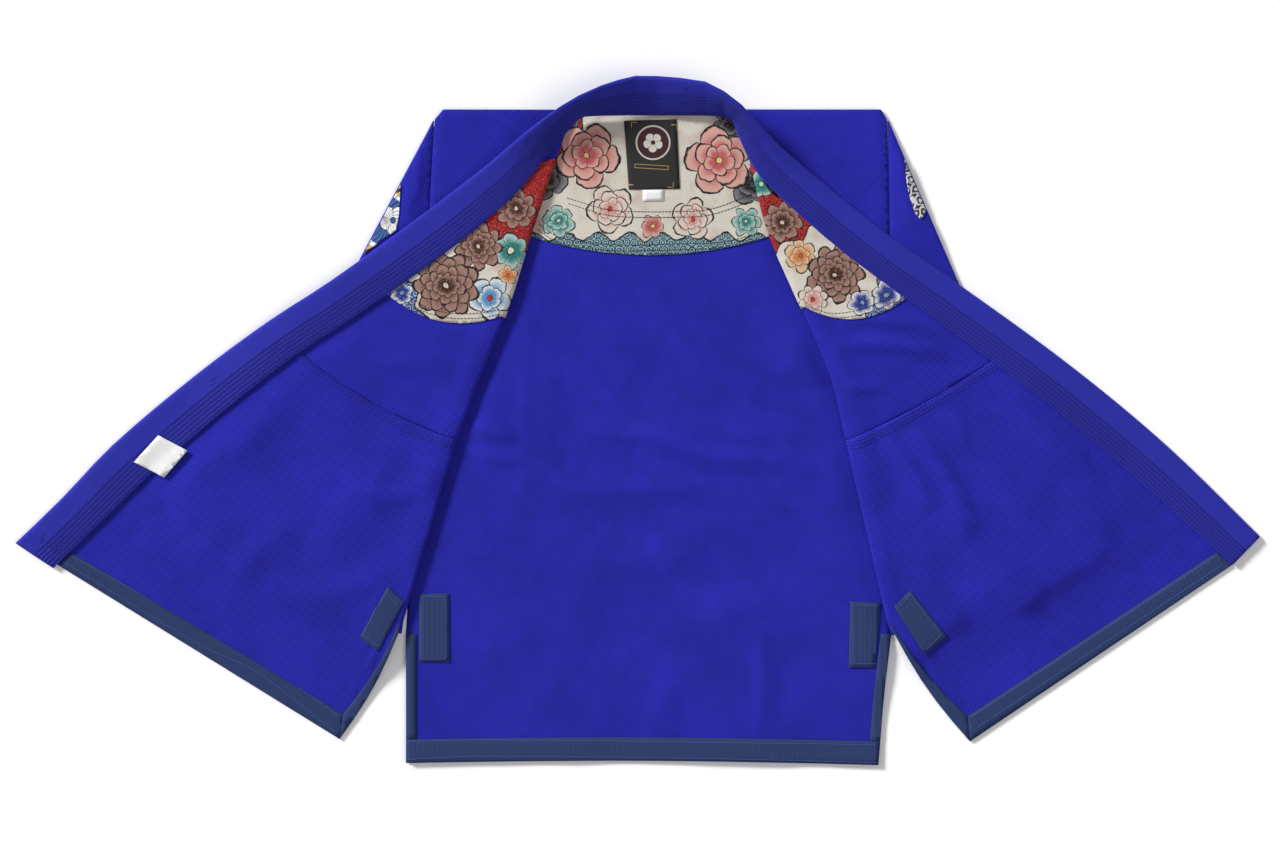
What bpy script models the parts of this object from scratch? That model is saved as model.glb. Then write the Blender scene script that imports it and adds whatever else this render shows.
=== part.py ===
"""Jiu-jitsu gi jacket, adult size 2, laid on its back with both fronts turned out.

Metres, +Z up. The jacket lies in the XY plane: +Y runs from the hem to the collar, +X to the
viewer's right, and Z = 0 is the surface it lies on. Sizes below are in millimetres.
"""

import math
from collections import namedtuple

import bmesh
import bpy
import numpy as np
from mathutils import Vector
from mathutils.bvhtree import BVHTree

MM = 0.001

# Walls
CLOTH = 1.8
LINING = 1.0
TAPE = 0.9
LABEL = 0.8
TAB = 0.6
BADGE = 0.9
BAND = 6.4
SEAM_GAP = 0.3
LAID_SLACK = 0.25

# Heights of the layers' middles above the surface
BACK_MID = CLOTH / 2
STRIP_EDGE_MID = 3.3
STRIP_MID = 4.3
FLAP_REST = 7.4

# Sleeve: the head of its upper edge, the way that edge runs, and how far its two walls stand apart
SleeveLine = namedtuple("SleeveLine", "head_x head_y run_x run_y")
SLEEVE_LINE_LEFT = SleeveLine(-251.5, 373, -0.47, -0.883)
SLEEVE_LINE_RIGHT = SleeveLine(309, 373, 0.396, -0.918)
SLEEVE_LENGTH = 551
CUFF_WIDTH = 173
ARMPIT_Y = 112
ARMPIT_GAP = 0.8
SLEEVE_EDGE_RISE = 3.0
SLEEVE_CROWN_RISE = 5.2
ARMHOLE_RISE = 2.1
CROWN_FULLNESS = 1.6
RISE_SHARE = 0.12
SLEEVE_SHARES = (0.0, 0.03, 0.07, 0.13, 0.2, 0.28, 0.38, 0.5, 0.62, 0.75, 0.88, 1.0)
SLEEVE_ACROSS = (0.0, 0.07, 0.2, 0.4, 0.6, 0.8, 0.93, 1.0)
SLEEVE_TURNS = (45, 90, 135)

# How the turned-out front settles from what lies under it down to the surface
PLATEAU_MARGIN = 25
SETTLE_WIDTH = 90
ROLL_SETTLE = 45

# Lapel band
LIP_DEPTH = 18
NAPE_BASE = 1.2
LIP_CLEARANCE = 3.6
EDGE_ROUND = 1.3

# Side line of the body, from the shoulder down the armhole, side seam and slit
SideRow = namedtuple("SideRow", "name y left_x right_x")
SIDE_LINE = (
    SideRow("shoulder", 385, -240, 300),
    SideRow("shoulder corner", 376, -250, 307),
    SideRow("sleeve head", 320, -254, 309),
    SideRow("armhole middle", 240, -258, 310),
    SideRow("armpit", 110, -262, 311),
    SideRow("waist", -20, -271, 310),
    SideRow("slit top", -262, -286, 313),
    SideRow("slit middle", -335, -286, 304),
    SideRow("hem", -421, -286, 297),
)

# One row for each named section across a front: where it meets the side seam, where it rolls
# over, and where it meets the lapel band. bow is the sag of the line, tuck is how far the cloth
# runs on under the band, loft is how far the roll stands above the flat cloth.
FrontRow = namedtuple("FrontRow", "name parts side_y roll_x roll_y lapel_x lapel_y bow tuck loft")
FRONT_LEFT = (
    FrontRow("shoulder", 1, 385, -80, 384, -88, 379, 0, 3, 0.0),
    FrontRow("shoulder corner", 1, 373, -85, 366, -97, 362, 0, 5, 0.0),
    FrontRow("neck point", 3, 325, -101, 323, -120, 319, 0, 11, 0.2),
    FrontRow("yoke middle", 3, 238, -131, 233, -207, 230, 8, 13, 1.6),
    FrontRow("yoke edge", 2, 152, -164, 128, -308, 156, 20, 13, 3.0),
    FrontRow("chest", 3, 70, -195, 51, -363, 121, 14, 13, 3.5),
    FrontRow("skirt seam", 9, -6, -223, -23, -416, 86, 11, 13, 3.5),
)
FRONT_RIGHT = (
    FrontRow("shoulder", 1, 385, 116, 384, 124, 379, 0, 3, 0.0),
    FrontRow("shoulder corner", 1, 373, 123, 366, 135, 361, 0, 5, 0.0),
    FrontRow("neck point", 3, 325, 139, 318, 150, 305, 0, 11, 0.2),
    FrontRow("yoke middle", 3, 238, 162, 231, 245, 216, 8, 13, 1.6),
    FrontRow("yoke edge", 2, 152, 202, 139, 330, 151, 20, 13, 3.0),
    FrontRow("chest", 3, 70, 237, 57, 388, 110, 10, 13, 3.5),
    FrontRow("skirt seam", 9, -10, 256, -23, 437, 75, 5, 13, 3.5),
)
# The lower edge of each front: the top of the slit, the corner of slit and hem, the lapel's foot.
EdgeRow = namedtuple("EdgeRow", "name side_y roll_x roll_y corner_x corner_y lapel_x lapel_y slit_bow")
EDGE_LEFT = (
    EdgeRow("tape edge", -240, -289, -247, -364, -361, -700, -161, 6),
    EdgeRow("cut edge", -258, -291, -262, -368, -392, -716, -177, 6),
)
EDGE_RIGHT = (
    EdgeRow("tape edge", -240, 308, -250, 407, -364, 715, -161, 6),
    EdgeRow("cut edge", -258, 313, -264, 410, -395, 734, -177, 6),
)
SLIT_END_WIDTH = 14
EDGE_LOFT = 2.0

# Places along a front's section: its strip on the back, the turns of its roll in degrees, and
# the turned-out part, whose first columns end in the slit at the lower edge
STRIP_STEPS = (0.0, 0.06, 0.3, 0.55, 0.8, 1.0)
NOSE_TURNS = (36, 72, 108, 144)
SLIT_COLUMNS = 5
HEM_COLUMNS = 9
FLAP_COLUMNS = SLIT_COLUMNS + HEM_COLUMNS
FLAP_START = len(STRIP_STEPS) + len(NOSE_TURNS)
CORNER_COLUMN = FLAP_START + SLIT_COLUMNS
CORNER_SHARE = 0.27
SLIT_BULGE = 0.8
SLIT_BULGE_FALL = -0.6
TUCK_ACROSS = 0.62
TUCK_UP = 0.785
YOKE_TUCK_SHARE = 0.35
HEM_TAPE_CORNER_TRIM = 0.004
HEM_TAPE_LAPEL_TRIM = 0.02
SLIT_TAPE_CORNER_TRIM = 0.008

# Lapel band, one row for each section: outer edge, inner edge, and how far the outer edge stands
# above the inner one where the collar arches round the back of the neck.
BandRow = namedtuple("BandRow", "name parts outer_x outer_y inner_x inner_y lift")
BAND_ROWS = (
    BandRow("left foot", 2, -768, -150, -721, -181, 0),
    BandRow("left hem", 3, -712, -96, -674, -136, 0),
    BandRow("left skirt low", 4, -648, -29, -607, -71, 0),
    BandRow("left skirt", 4, -546, 57, -511, 12, 0),
    BandRow("left waist", 3, -455, 124, -422, 81, 0),
    BandRow("left chest", 4, -379, 173, -350, 128, 0),
    BandRow("left yoke", 4, -259, 260, -226, 216, 0),
    BandRow("left collar", 2, -181, 320, -148, 284, 6),
    BandRow("left rise", 2, -139, 356, -110, 333, 19),
    BandRow("left corner", 1, -96, 387, -77, 374, 33),
    BandRow("left nape", 1, -72, 401, -66, 380, 36),
    BandRow("left back neck", 2, -45, 413, -48, 380, 33),
    BandRow("back neck", 1, -3, 425.5, -3, 380, 27),
    BandRow("back neck right", 2, 24, 425.5, 24, 380, 26),
    BandRow("right back neck", 1, 83, 418, 82, 380, 30),
    BandRow("right nape", 1, 106, 406, 104, 380, 35),
    BandRow("right corner", 2, 128, 389, 119, 373, 36),
    BandRow("right fall", 2, 157, 358, 131, 344, 25),
    BandRow("right collar", 3, 188, 328, 151, 303, 12),
    BandRow("right yoke", 2, 262, 267, 231, 227, 0),
    BandRow("right yoke edge", 3, 318, 223, 287, 183, 0),
    BandRow("right chest", 5, 400, 166, 370, 123, 0),
    BandRow("right waist", 5, 539, 65, 505, 22, 0),
    BandRow("right skirt", 5, 652, -29, 615, -70, 0),
    BandRow("right foot", 0, 768, -142, 734, -177, 0),
)

# Large folds: a soft ridge along a line of points
FOLD_END_FADE = 0.6
Fold = namedtuple("Fold", "name layer points height width")
FOLDS = (
    Fold("right skirt fold", "flap", ((318, -22), (360, -80), (425, -165), (489, -290)), 5.5, 20),
    Fold("right skirt short fold", "flap", ((400, 5), (440, -45), (505, -110)), 3.5, 18),
    Fold("right chest fold", "flap", ((290, 85), (340, 96), (385, 80)), 3.0, 18),
    Fold("left skirt fold", "flap", ((-300, -30), (-350, -110), (-395, -200)), 3.0, 22),
    Fold("back skirt fold", "back", ((158, -275), (165, -340), (163, -400)), 2.5, 14),
    Fold("back waist fold", "back", ((-60, -10), (-30, -45), (15, -70)), 1.6, 16),
)

# Back: its rows from the shoulder to the hem, and the columns between its slit tapes
BACK_ROW_YS = (
    385, 373, 345, 315, 280, 240, 195, 152, 110, 65, 20, -20, -55, -90, -130,
    -170, -210, -240, -262, -290, -320, -350, -377, -392.5, -421.5,
)
SLIT_TOP_Y = -262
BACK_COLUMNS = 16
SLIT_TAPE_BACK = 13
HEM_START_Y = -300
HEM_RUN = 100
HEM_SAG_MIDDLE = 4
HEM_TILT = 2.5

# Printed lining of the back: its upper and lower level, and how far it runs under the fronts
YOKE_BACK_ROWS = 8
YOKE_BACK_COLUMNS = 12
YOKE_BACK_TOP = 383
YOKE_BACK_BOTTOM_SIDE = 232
YOKE_BACK_BOTTOM_SAG = 27
YOKE_TUCK = 10

# Labels and patches: corners in plan
LABEL_CORNERS = ((-17, 371), (48, 373), (52, 287), (-11, 286))
SIZE_TAB_CORNERS = ((6, 285.5), (32, 286), (32, 272), (6, 271.5))
CARE_LABEL_CORNERS = ((-591, -17), (-555, -36), (-584, -69), (-621, -50))
PATCH_BACK_LEFT = ((-270, -213), (-233, -212), (-232, -297), (-270, -296))
PATCH_BACK_RIGHT = ((262, -222), (300, -224), (292, -304), (260, -304))
PATCH_FRONT_LEFT = ((-308, -203), (-343, -266), (-320, -283), (-288, -222))
PATCH_FRONT_RIGHT = ((335, -208), (381, -265), (353, -287), (316, -228))

# Care label: where the band's inner edge crosses it, the way into the band, and its climb
CARE_LABEL_EDGE = (-564, -29)
CARE_LABEL_WAY = (-0.697, 0.717)
CARE_LABEL_CLIMB_START = -20
CARE_LABEL_CLIMB_RUN = 11
CARE_LABEL_SLACK = 0.2

# Sleeve badges: how far along the sleeve's upper edge they start and end, and how deep they run
Badge = namedtuple("Badge", "name start end depth")
BADGE_LEFT = Badge("badge_left", 88, 184, 55)
BADGE_RIGHT = Badge("badge_right", 52, 118, 32)
BADGE_STEPS = 10
BADGE_COLUMNS = 6
BADGE_SETBACK = 3.0
BADGE_LEAST_REACH = 5
BADGE_BAND_CLEARANCE = 3


def smooth(share):
    """0 below 0, 1 above 1, and a soft S between."""
    share = min(max(share, 0.0), 1.0)
    return share * share * (3 - 2 * share)


def mix(a, b, share):
    return a + (b - a) * share


def plan_point(x, y):
    return np.array((float(x), float(y)))


def segment_distance(point, a, b):
    """Distance in plan from a point to the stretch a-b, and the share along it."""
    along = b - a
    share = min(max(float(np.dot(point - a, along) / np.dot(along, along)), 0.0), 1.0)
    return float(np.linalg.norm(point - a - along * share)), share


def outside_distance(point, outline):
    """How far a point in plan lies outside a closed outline, 0 inside it."""
    inside = False
    nearest = math.inf
    for a, b in zip(outline, outline[1:] + outline[:1]):
        nearest = min(nearest, segment_distance(point, a, b)[0])
        if (a[1] > point[1]) != (b[1] > point[1]):
            crossing = a[0] + (point[1] - a[1]) * (b[0] - a[0]) / (b[1] - a[1])
            if point[0] < crossing:
                inside = not inside
    return 0.0 if inside else nearest


def smooth_rows(rows, first):
    """Rows between the named ones: a smooth curve through each column after the named ones."""
    anchors = [np.array(row[first:], float) for row in rows]
    counts = [row.parts for row in rows[:-1]]
    found = []
    for i, count in enumerate(counts):
        before = anchors[max(i - 1, 0)]
        start, end = anchors[i], anchors[i + 1]
        after = anchors[min(i + 2, len(anchors) - 1)]
        span = np.linalg.norm(end - start)
        lead_in = (end - before) * span / (span + np.linalg.norm(start - before))
        lead_out = (after - start) * span / (span + np.linalg.norm(after - end))
        for step in range(count):
            t = step / count
            found.append(
                start * (2 * t**3 - 3 * t**2 + 1)
                + end * (3 * t**2 - 2 * t**3)
                + lead_in * (t**3 - 2 * t**2 + t)
                + lead_out * (t**3 - t**2)
            )
    found.append(anchors[-1])
    return found


def side_x(y, right):
    ys = [-row.y for row in SIDE_LINE]
    xs = [row.right_x if right else row.left_x for row in SIDE_LINE]
    return float(np.interp(-y, ys, xs))


def front_tables(right):
    return (FRONT_RIGHT, EDGE_RIGHT) if right else (FRONT_LEFT, EDGE_LEFT)


def sleeve_corners(right):
    """Upper and lower ends of the sleeve in plan: head, armpit, cuff's lower and upper corner."""
    side = 1 if right else -1
    line = SLEEVE_LINE_RIGHT if right else SLEEVE_LINE_LEFT
    head = plan_point(line.head_x, line.head_y)
    run = plan_point(line.run_x, line.run_y)
    run = run / np.linalg.norm(run)
    across = plan_point(side * run[1], -side * run[0])
    armpit = plan_point(side_x(ARMPIT_Y, right) + ARMPIT_GAP * side, ARMPIT_Y)
    cuff_top = head + run * SLEEVE_LENGTH
    cuff_low = cuff_top + across * CUFF_WIDTH
    return head, armpit, cuff_low, cuff_top


def body_outline(right):
    """What lies under a turned-out front beside the sleeve: from the shoulder to the slit."""
    front, edge = front_tables(right)
    outline = [plan_point(side_x(row.side_y, right), row.side_y) for row in front]
    outline.append(plan_point(edge[0].roll_x, edge[0].roll_y))
    outline += [plan_point(row.roll_x, row.roll_y) for row in reversed(front)]
    return outline


OUTLINES = {
    right: (list(sleeve_corners(right)), body_outline(right)) for right in (False, True)
}


def fold_height(point, layer):
    """How far the large folds of one layer raise it at a place in plan."""
    total = 0.0
    for fold in FOLDS:
        if fold.layer != layer:
            continue
        points = [plan_point(*p) for p in fold.points]
        count = len(points) - 1
        distance, place = math.inf, 0.0
        for i in range(count):
            found, share = segment_distance(point, points[i], points[i + 1])
            if found < distance:
                distance, place = found, (i + share) / count
        fade = math.sin(math.pi * place) ** FOLD_END_FADE
        total += fold.height * math.exp(-((distance / fold.width) ** 2)) * fade
    return total


def rest_height(x, y):
    """Height of what carries a turned-out front, or its band, at a place in plan."""
    point = plan_point(x, y)
    nearest = min(outside_distance(point, outline) for outline in OUTLINES[x > 20])
    carried = FLAP_REST * (1 - smooth((nearest - PLATEAU_MARGIN) / SETTLE_WIDTH))
    return carried + fold_height(point, "flap")


def surface_material(name, colour, roughness):
    material = bpy.data.materials.new(name)
    material.use_nodes = True
    shader = material.node_tree.nodes["Principled BSDF"]
    shader.inputs["Base Color"].default_value = (*colour, 1.0)
    shader.inputs["Roughness"].default_value = roughness
    shader.inputs["Metallic"].default_value = 0.0
    material.diffuse_color = (*colour, 1.0)
    return material


def grid_mesh(points):
    """A grid mesh whose vertices take the given rows of points, in millimetres."""
    rows, columns = len(points), len(points[0])
    mesh = bmesh.new()
    bmesh.ops.create_grid(mesh, x_segments=columns - 1, y_segments=rows - 1, size=1)
    mesh.verts.ensure_lookup_table()
    order = sorted(mesh.verts, key=lambda v: (round(v.co.y, 5), round(v.co.x, 5)))
    for vertex, place in zip(order, (p for row in points for p in row)):
        vertex.co = Vector(place) * MM
    return mesh


def finish_object(name, mesh, material, collection):
    data = bpy.data.meshes.new(name)
    mesh.to_mesh(data)
    mesh.free()
    data.materials.append(material)
    data.shade_smooth()
    made = bpy.data.objects.new(name, data)
    collection.objects.link(made)
    return made


def cloth_wall(name, points, thickness, material, collection, tube=False):
    """An open sheet, or an open tube, through rows of points, with its wall on both sides."""
    mesh = grid_mesh(points)
    if tube:
        bmesh.ops.remove_doubles(mesh, verts=mesh.verts, dist=1e-6)
    made = finish_object(name, mesh, material, collection)
    wall = made.modifiers.new("wall", "SOLIDIFY")
    wall.thickness = thickness * MM
    wall.offset = 0
    return made


def solid_loft(name, sections, material, collection):
    """A closed solid through like sections, with its two ends filled."""
    rows = [list(section) + [section[0]] for section in sections]
    mesh = grid_mesh(rows)
    bmesh.ops.remove_doubles(mesh, verts=mesh.verts, dist=1e-6)
    bmesh.ops.holes_fill(mesh, edges=mesh.edges, sides=0)
    bmesh.ops.recalc_face_normals(mesh, faces=mesh.faces)
    return finish_object(name, mesh, material, collection)


def pull_in(row, towards, distance):
    """A row of points moved a short way towards the next row, to leave a seam's gap."""
    moved = []
    for point, other in zip(row, towards):
        way = np.array(other) - np.array(point)
        moved.append(tuple(np.array(point) + way / np.linalg.norm(way) * distance))
    return moved


def roll_radius(loft):
    """Radius of the roll's middle surface, from the strip below it to the flap above it."""
    return (FLAP_REST + CLOTH / 2 + loft - STRIP_MID) / 2


def roll_middle(row):
    """The place in plan where the roll's upper half ends and the flap starts."""
    return row["roll"] - row["outward"] * (roll_radius(row["loft"]) + CLOTH / 2)


def flap_line(row, right):
    """Plan points of the turned-out part of a section, from the roll's middle to the band."""
    start = row["roll_middle"]
    if "corner" in row:
        points = []
        for i in range(FLAP_COLUMNS + 1):
            if i <= SLIT_COLUMNS:
                share = i / SLIT_COLUMNS
                place = mix(start, row["corner"], share)
                outward = plan_point(-1 if right else 1, SLIT_BULGE_FALL)
                bulge = row["bow"] * math.sin(math.pi * share) * SLIT_BULGE
                points.append(place + outward * bulge)
            else:
                points.append(mix(row["corner"], row["lapel"], (i - SLIT_COLUMNS) / HEM_COLUMNS))
        return points
    chord = row["lapel"] - start
    down = plan_point(chord[1], -chord[0]) / np.linalg.norm(chord)
    if down[1] > 0:
        down = -down
    points = []
    for i in range(FLAP_COLUMNS + 1):
        if i <= SLIT_COLUMNS:
            share = CORNER_SHARE * i / SLIT_COLUMNS
        else:
            share = mix(CORNER_SHARE, 1, (i - SLIT_COLUMNS) / HEM_COLUMNS)
        points.append(start + chord * share + down * row["bow"] * 4 * share * (1 - share))
    return points


def front_rows(front, right):
    """Every section of one front down to its skirt seam, and the indices of its named sections."""
    rows = []
    for side_y, roll_x, roll_y, lapel_x, lapel_y, bow, tuck, loft in smooth_rows(front, 2):
        rows.append(
            {
                "side": plan_point(side_x(side_y, right), side_y),
                "roll": plan_point(roll_x, roll_y),
                "lapel": plan_point(lapel_x, lapel_y),
                "bow": bow,
                "tuck": tuck,
                "loft": loft,
            }
        )
    named, index = {}, 0
    for row in front:
        named[row.name] = index
        index += row.parts
    return rows, named


def place_row(row):
    """The section's wall middle: strip on the back, roll, turned-out flap, tuck under the band."""
    outward = row["outward"]
    loft = row["loft"]
    radius = roll_radius(loft)
    centre = roll_middle(row)
    points = []
    for share in STRIP_STEPS:
        x, y = mix(row["side"], centre, share)
        height = STRIP_EDGE_MID if share == 0 else STRIP_MID
        points.append((x, y, height))
    for turn in NOSE_TURNS:
        angle = math.radians(turn)
        x, y = centre + outward * radius * math.sin(angle)
        points.append((x, y, STRIP_MID + radius * (1 - math.cos(angle))))
    line = row["line"]
    run = 0.0
    settle = min(ROLL_SETTLE, 0.8 * float(np.linalg.norm(line[-1] - line[0])))
    for i, (x, y) in enumerate(line):
        if i:
            run += float(np.linalg.norm(line[i] - line[i - 1]))
        rise = loft * (1 - smooth(run / settle))
        height = STRIP_MID + 2 * radius if i == 0 else rest_height(x, y) + CLOTH / 2 + rise
        points.append((x, y, height))
    last = line[-1] + row["tuck_way"] * row["tuck"]
    points.append((last[0], last[1], rest_height(*last) + CLOTH / 2))
    return points


def front_points(right):
    """Rows of points for one whole front, and the named row indices."""
    front, edge = front_tables(right)
    rows, named = front_rows(front, right)
    side = -1 if right else 1
    for i, row in enumerate(rows):
        start = min(i, len(rows) - 2)
        way = rows[start + 1]["roll"] - rows[start]["roll"]
        outward = plan_point(-way[1], way[0]) / np.linalg.norm(way)
        row["outward"] = outward if outward[0] * side > 0 else -outward
        row["roll_middle"] = roll_middle(row)
        row["line"] = flap_line(row, right)
        row["tuck_way"] = plan_point(-side * TUCK_ACROSS, TUCK_UP)
    seam = rows[-1]
    ends = []
    for item in edge:
        end = dict(seam)
        end["roll"] = plan_point(item.roll_x, item.roll_y)
        end["side"] = plan_point(item.roll_x - side * SLIT_END_WIDTH, item.side_y)
        end["loft"] = EDGE_LOFT
        end["roll_middle"] = roll_middle(end)
        end["corner"] = plan_point(item.corner_x, item.corner_y)
        end["lapel"] = plan_point(item.lapel_x, item.lapel_y)
        end["bow"] = item.slit_bow
        end["line"] = flap_line(end, right)
        ends.append(end)
    parts = front[-1].parts
    tape_row = ends[0]
    for step in range(1, parts):
        share = step / parts
        row = dict(seam)
        for key in ("side", "roll", "loft"):
            row[key] = mix(seam[key], tape_row[key], share)
        row["side"] = plan_point(
            mix(side_x(row["side"][1], right), row["side"][0], share**3), row["side"][1]
        )
        row["line"] = [mix(a, b, share) for a, b in zip(seam["line"], tape_row["line"])]
        rows.append(row)
    rows += ends
    named["tape edge"] = len(rows) - 2
    named["cut edge"] = len(rows) - 1
    return [place_row(row) for row in rows], named


def make_fronts(side_name, right, cloth, lining, tape, collection):
    """One front above its skirt seam, the skirt below it, its printed lining and its tapes."""
    points, named = front_points(right)
    seam = named["skirt seam"]
    upper = points[: seam + 1]
    upper[-1] = pull_in(upper[-1], upper[-2], SEAM_GAP / 2)
    skirt = points[seam:]
    skirt[0] = pull_in(skirt[0], skirt[1], SEAM_GAP / 2)
    cloth_wall(f"front_{side_name}", upper, CLOTH, cloth, collection)
    skirt_object = cloth_wall(f"skirt_{side_name}", skirt, CLOTH, cloth, collection)

    up = (CLOTH + LINING) / 2 + SEAM_GAP
    yoke = []
    for row in points[named["neck point"] : named["yoke edge"] + 1]:
        centre = np.array(row[FLAP_START])
        foot = np.array(row[len(STRIP_STEPS) - 1])
        radius = (centre[2] - foot[2]) / 2
        nose = [np.array(p) for p in row[len(STRIP_STEPS) + 1 : FLAP_START]]
        middle = (centre + foot) / 2
        moved = [tuple(middle + (p - middle) * (radius + up) / radius) for p in nose]
        moved += [(p[0], p[1], p[2] + up) for p in row[FLAP_START:-1]]
        edge, tucked = np.array(row[-2]), np.array(row[-1])
        beyond = edge + (tucked - edge) * YOKE_TUCK_SHARE
        moved.append((beyond[0], beyond[1], beyond[2] + up))
        yoke.append(moved)
    cloth_wall(f"yoke_{side_name}", yoke, LINING, lining, collection)

    up = (CLOTH + TAPE) / 2 + SEAM_GAP
    band_rows = points[named["tape edge"] : named["cut edge"] + 1]
    hem = [[(p[0], p[1], p[2] + up) for p in row[CORNER_COLUMN:-1]] for row in band_rows]
    slit = [[(p[0], p[1], p[2] + up) for p in row[FLAP_START : CORNER_COLUMN + 1]] for row in band_rows]
    for row in hem:
        row[0] = tuple(mix(np.array(row[0]), np.array(row[1]), HEM_TAPE_CORNER_TRIM))
        row[-1] = tuple(mix(np.array(row[-1]), np.array(row[-2]), HEM_TAPE_LAPEL_TRIM))
    for row in slit:
        row[-1] = tuple(mix(np.array(row[-1]), np.array(row[-2]), SLIT_TAPE_CORNER_TRIM))
    cloth_wall(f"hem_tape_{side_name}", hem, TAPE, tape, collection)
    cloth_wall(f"slit_tape_front_{side_name}", slit, TAPE, tape, collection)
    return skirt_object


def back_height(x, y):
    return BACK_MID + fold_height(plan_point(x, y), "back")


def hem_y(y, share):
    """The hem's middle lies a little higher than its corners, and its right end a little lower."""
    near_hem = smooth((HEM_START_Y - y) / HEM_RUN)
    return y + near_hem * (HEM_SAG_MIDDLE * math.sin(math.pi * share) - HEM_TILT * share)


def back_shares(y):
    """Places across the back as shares of its width, with a line at each slit tape's inner edge."""
    left, right = side_x(y, False), side_x(y, True)
    width = right - left
    between = width - 2 * SLIT_TAPE_BACK
    inner = [SLIT_TAPE_BACK + between * i / BACK_COLUMNS for i in range(BACK_COLUMNS + 1)]
    return [0.0] + [place / width for place in inner] + [1.0]


def back_points():
    rows = []
    for y in BACK_ROW_YS:
        left, right = side_x(y, False), side_x(y, True)
        row = []
        for share in back_shares(y):
            x = mix(left, right, share)
            place = hem_y(y, share)
            row.append((x, place, back_height(x, place)))
        rows.append(row)
    return rows


def make_back(cloth, tape, collection):
    rows = back_points()
    made = cloth_wall("back", rows, CLOTH, cloth, collection)
    up = (CLOTH + TAPE) / 2 + SEAM_GAP
    raised = [[(x, y, z + up) for x, y, z in row] for row in rows]
    hem = raised[-2:]
    cloth_wall("hem_tape_back", hem, TAPE, tape, collection)
    slit_rows = raised[BACK_ROW_YS.index(SLIT_TOP_Y) : -1]
    for name, columns in (("left", slice(0, 2)), ("right", slice(-2, None))):
        strip = [row[columns] for row in slit_rows]
        strip[-1] = pull_in(strip[-1], strip[-2], SEAM_GAP)
        cloth_wall(f"slit_tape_back_{name}", strip, TAPE, tape, collection)
    return made


def make_yoke_back(lining, collection):
    """The printed lining of the back, from under the band to its curved lower edge."""
    height = CLOTH + SEAM_GAP + LINING / 2
    rolls = {}
    for right in (False, True):
        front = front_tables(right)[0]
        rolls[right] = ([-row.roll_y for row in front], [row.roll_x for row in front])
    rows = []
    for i in range(YOKE_BACK_ROWS + 1):
        down = i / YOKE_BACK_ROWS
        level = mix(YOKE_BACK_TOP, YOKE_BACK_BOTTOM_SIDE, down)
        left = float(np.interp(-level, *rolls[False])) - YOKE_TUCK
        right = float(np.interp(-level, *rolls[True])) + YOKE_TUCK
        row = []
        for j in range(YOKE_BACK_COLUMNS + 1):
            across = j / YOKE_BACK_COLUMNS
            sag = YOKE_BACK_BOTTOM_SAG * down * math.sin(math.pi * across) ** 0.8
            row.append((mix(left, right, across), level - sag, height))
        rows.append(row)
    cloth_wall("yoke_back", rows, LINING, lining, collection)
    return height + LINING / 2


def corner_grid(corners, rows_down, columns):
    """Plan points that fill a four-cornered piece: first edge runs from corner 0 to corner 1."""
    a, b, c, d = (plan_point(*corner) for corner in corners)
    grid = []
    for i in range(rows_down + 1):
        left, right = mix(a, d, i / rows_down), mix(b, c, i / rows_down)
        grid.append([mix(left, right, j / columns) for j in range(columns + 1)])
    return grid


def flat_piece(name, corners, bottom, thickness, material, collection):
    middle = bottom + thickness / 2
    rows = [[(x, y, middle) for x, y in row] for row in corner_grid(corners, 2, 2)]
    return cloth_wall(name, rows, thickness, material, collection)


def surface_of(made):
    """The finished surface of a piece, for laying another one on it."""
    bpy.context.view_layer.update()
    return BVHTree.FromObject(made, bpy.context.evaluated_depsgraph_get())


def height_on(tree, x, y):
    hit = tree.ray_cast(Vector((x * MM, y * MM, 1.0)), Vector((0, 0, -1)))
    return hit[0].z / MM


def laid_piece(name, corners, panel, thickness, divisions, material, collection):
    """A four-cornered piece that follows the top of the panel it is sewn on."""
    tree = surface_of(panel)
    up = SEAM_GAP + LAID_SLACK + thickness / 2
    rows = []
    for row in corner_grid(corners, *divisions):
        rows.append([(x, y, height_on(tree, x, y) + up) for x, y in row])
    return cloth_wall(name, rows, thickness, material, collection)


def make_care_label(white, collection):
    """A folded white label that climbs from the left front over the inner edge of the band."""
    rows = []
    edge = plan_point(*CARE_LABEL_EDGE)
    into_band = plan_point(*CARE_LABEL_WAY)
    low = CLOTH + SEAM_GAP + LABEL / 2 + CARE_LABEL_SLACK
    high = BAND + SEAM_GAP + LABEL / 2 + CARE_LABEL_SLACK
    for row in corner_grid(CARE_LABEL_CORNERS, 6, 6):
        placed = []
        for x, y in row:
            depth = float(np.dot(plan_point(x, y) - edge, into_band))
            rise = smooth((depth - CARE_LABEL_CLIMB_START) / CARE_LABEL_CLIMB_RUN)
            placed.append((x, y, rest_height(x, y) + mix(low, high, rise)))
        rows.append(placed)
    cloth_wall("care_label", rows, LABEL, white, collection)


def sleeve_ring(right, share):
    """Upper and lower plan points of the sleeve's ring at a share of its length."""
    head, armpit, cuff_low, cuff_top = sleeve_corners(right)
    return mix(head, cuff_top, share), mix(armpit, cuff_low, share)


def sleeve_rise(share, across):
    """Height of the upper wall's middle above the lower wall's middle."""
    edge = mix(ARMHOLE_RISE, SLEEVE_EDGE_RISE, smooth(share / RISE_SHARE))
    crown = mix(ARMHOLE_RISE, SLEEVE_CROWN_RISE, smooth(share / RISE_SHARE))
    return mix(edge, crown, smooth(math.sin(math.pi * across) * CROWN_FULLNESS))


def clear_of_body(point, right, gap):
    """A place on the sleeve, moved out of the body's side where it comes closer than the gap."""
    side = 1 if right else -1
    edge = side_x(point[1], right) + side * gap
    x = max(point[0], edge) if right else min(point[0], edge)
    return plan_point(x, point[1])


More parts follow.
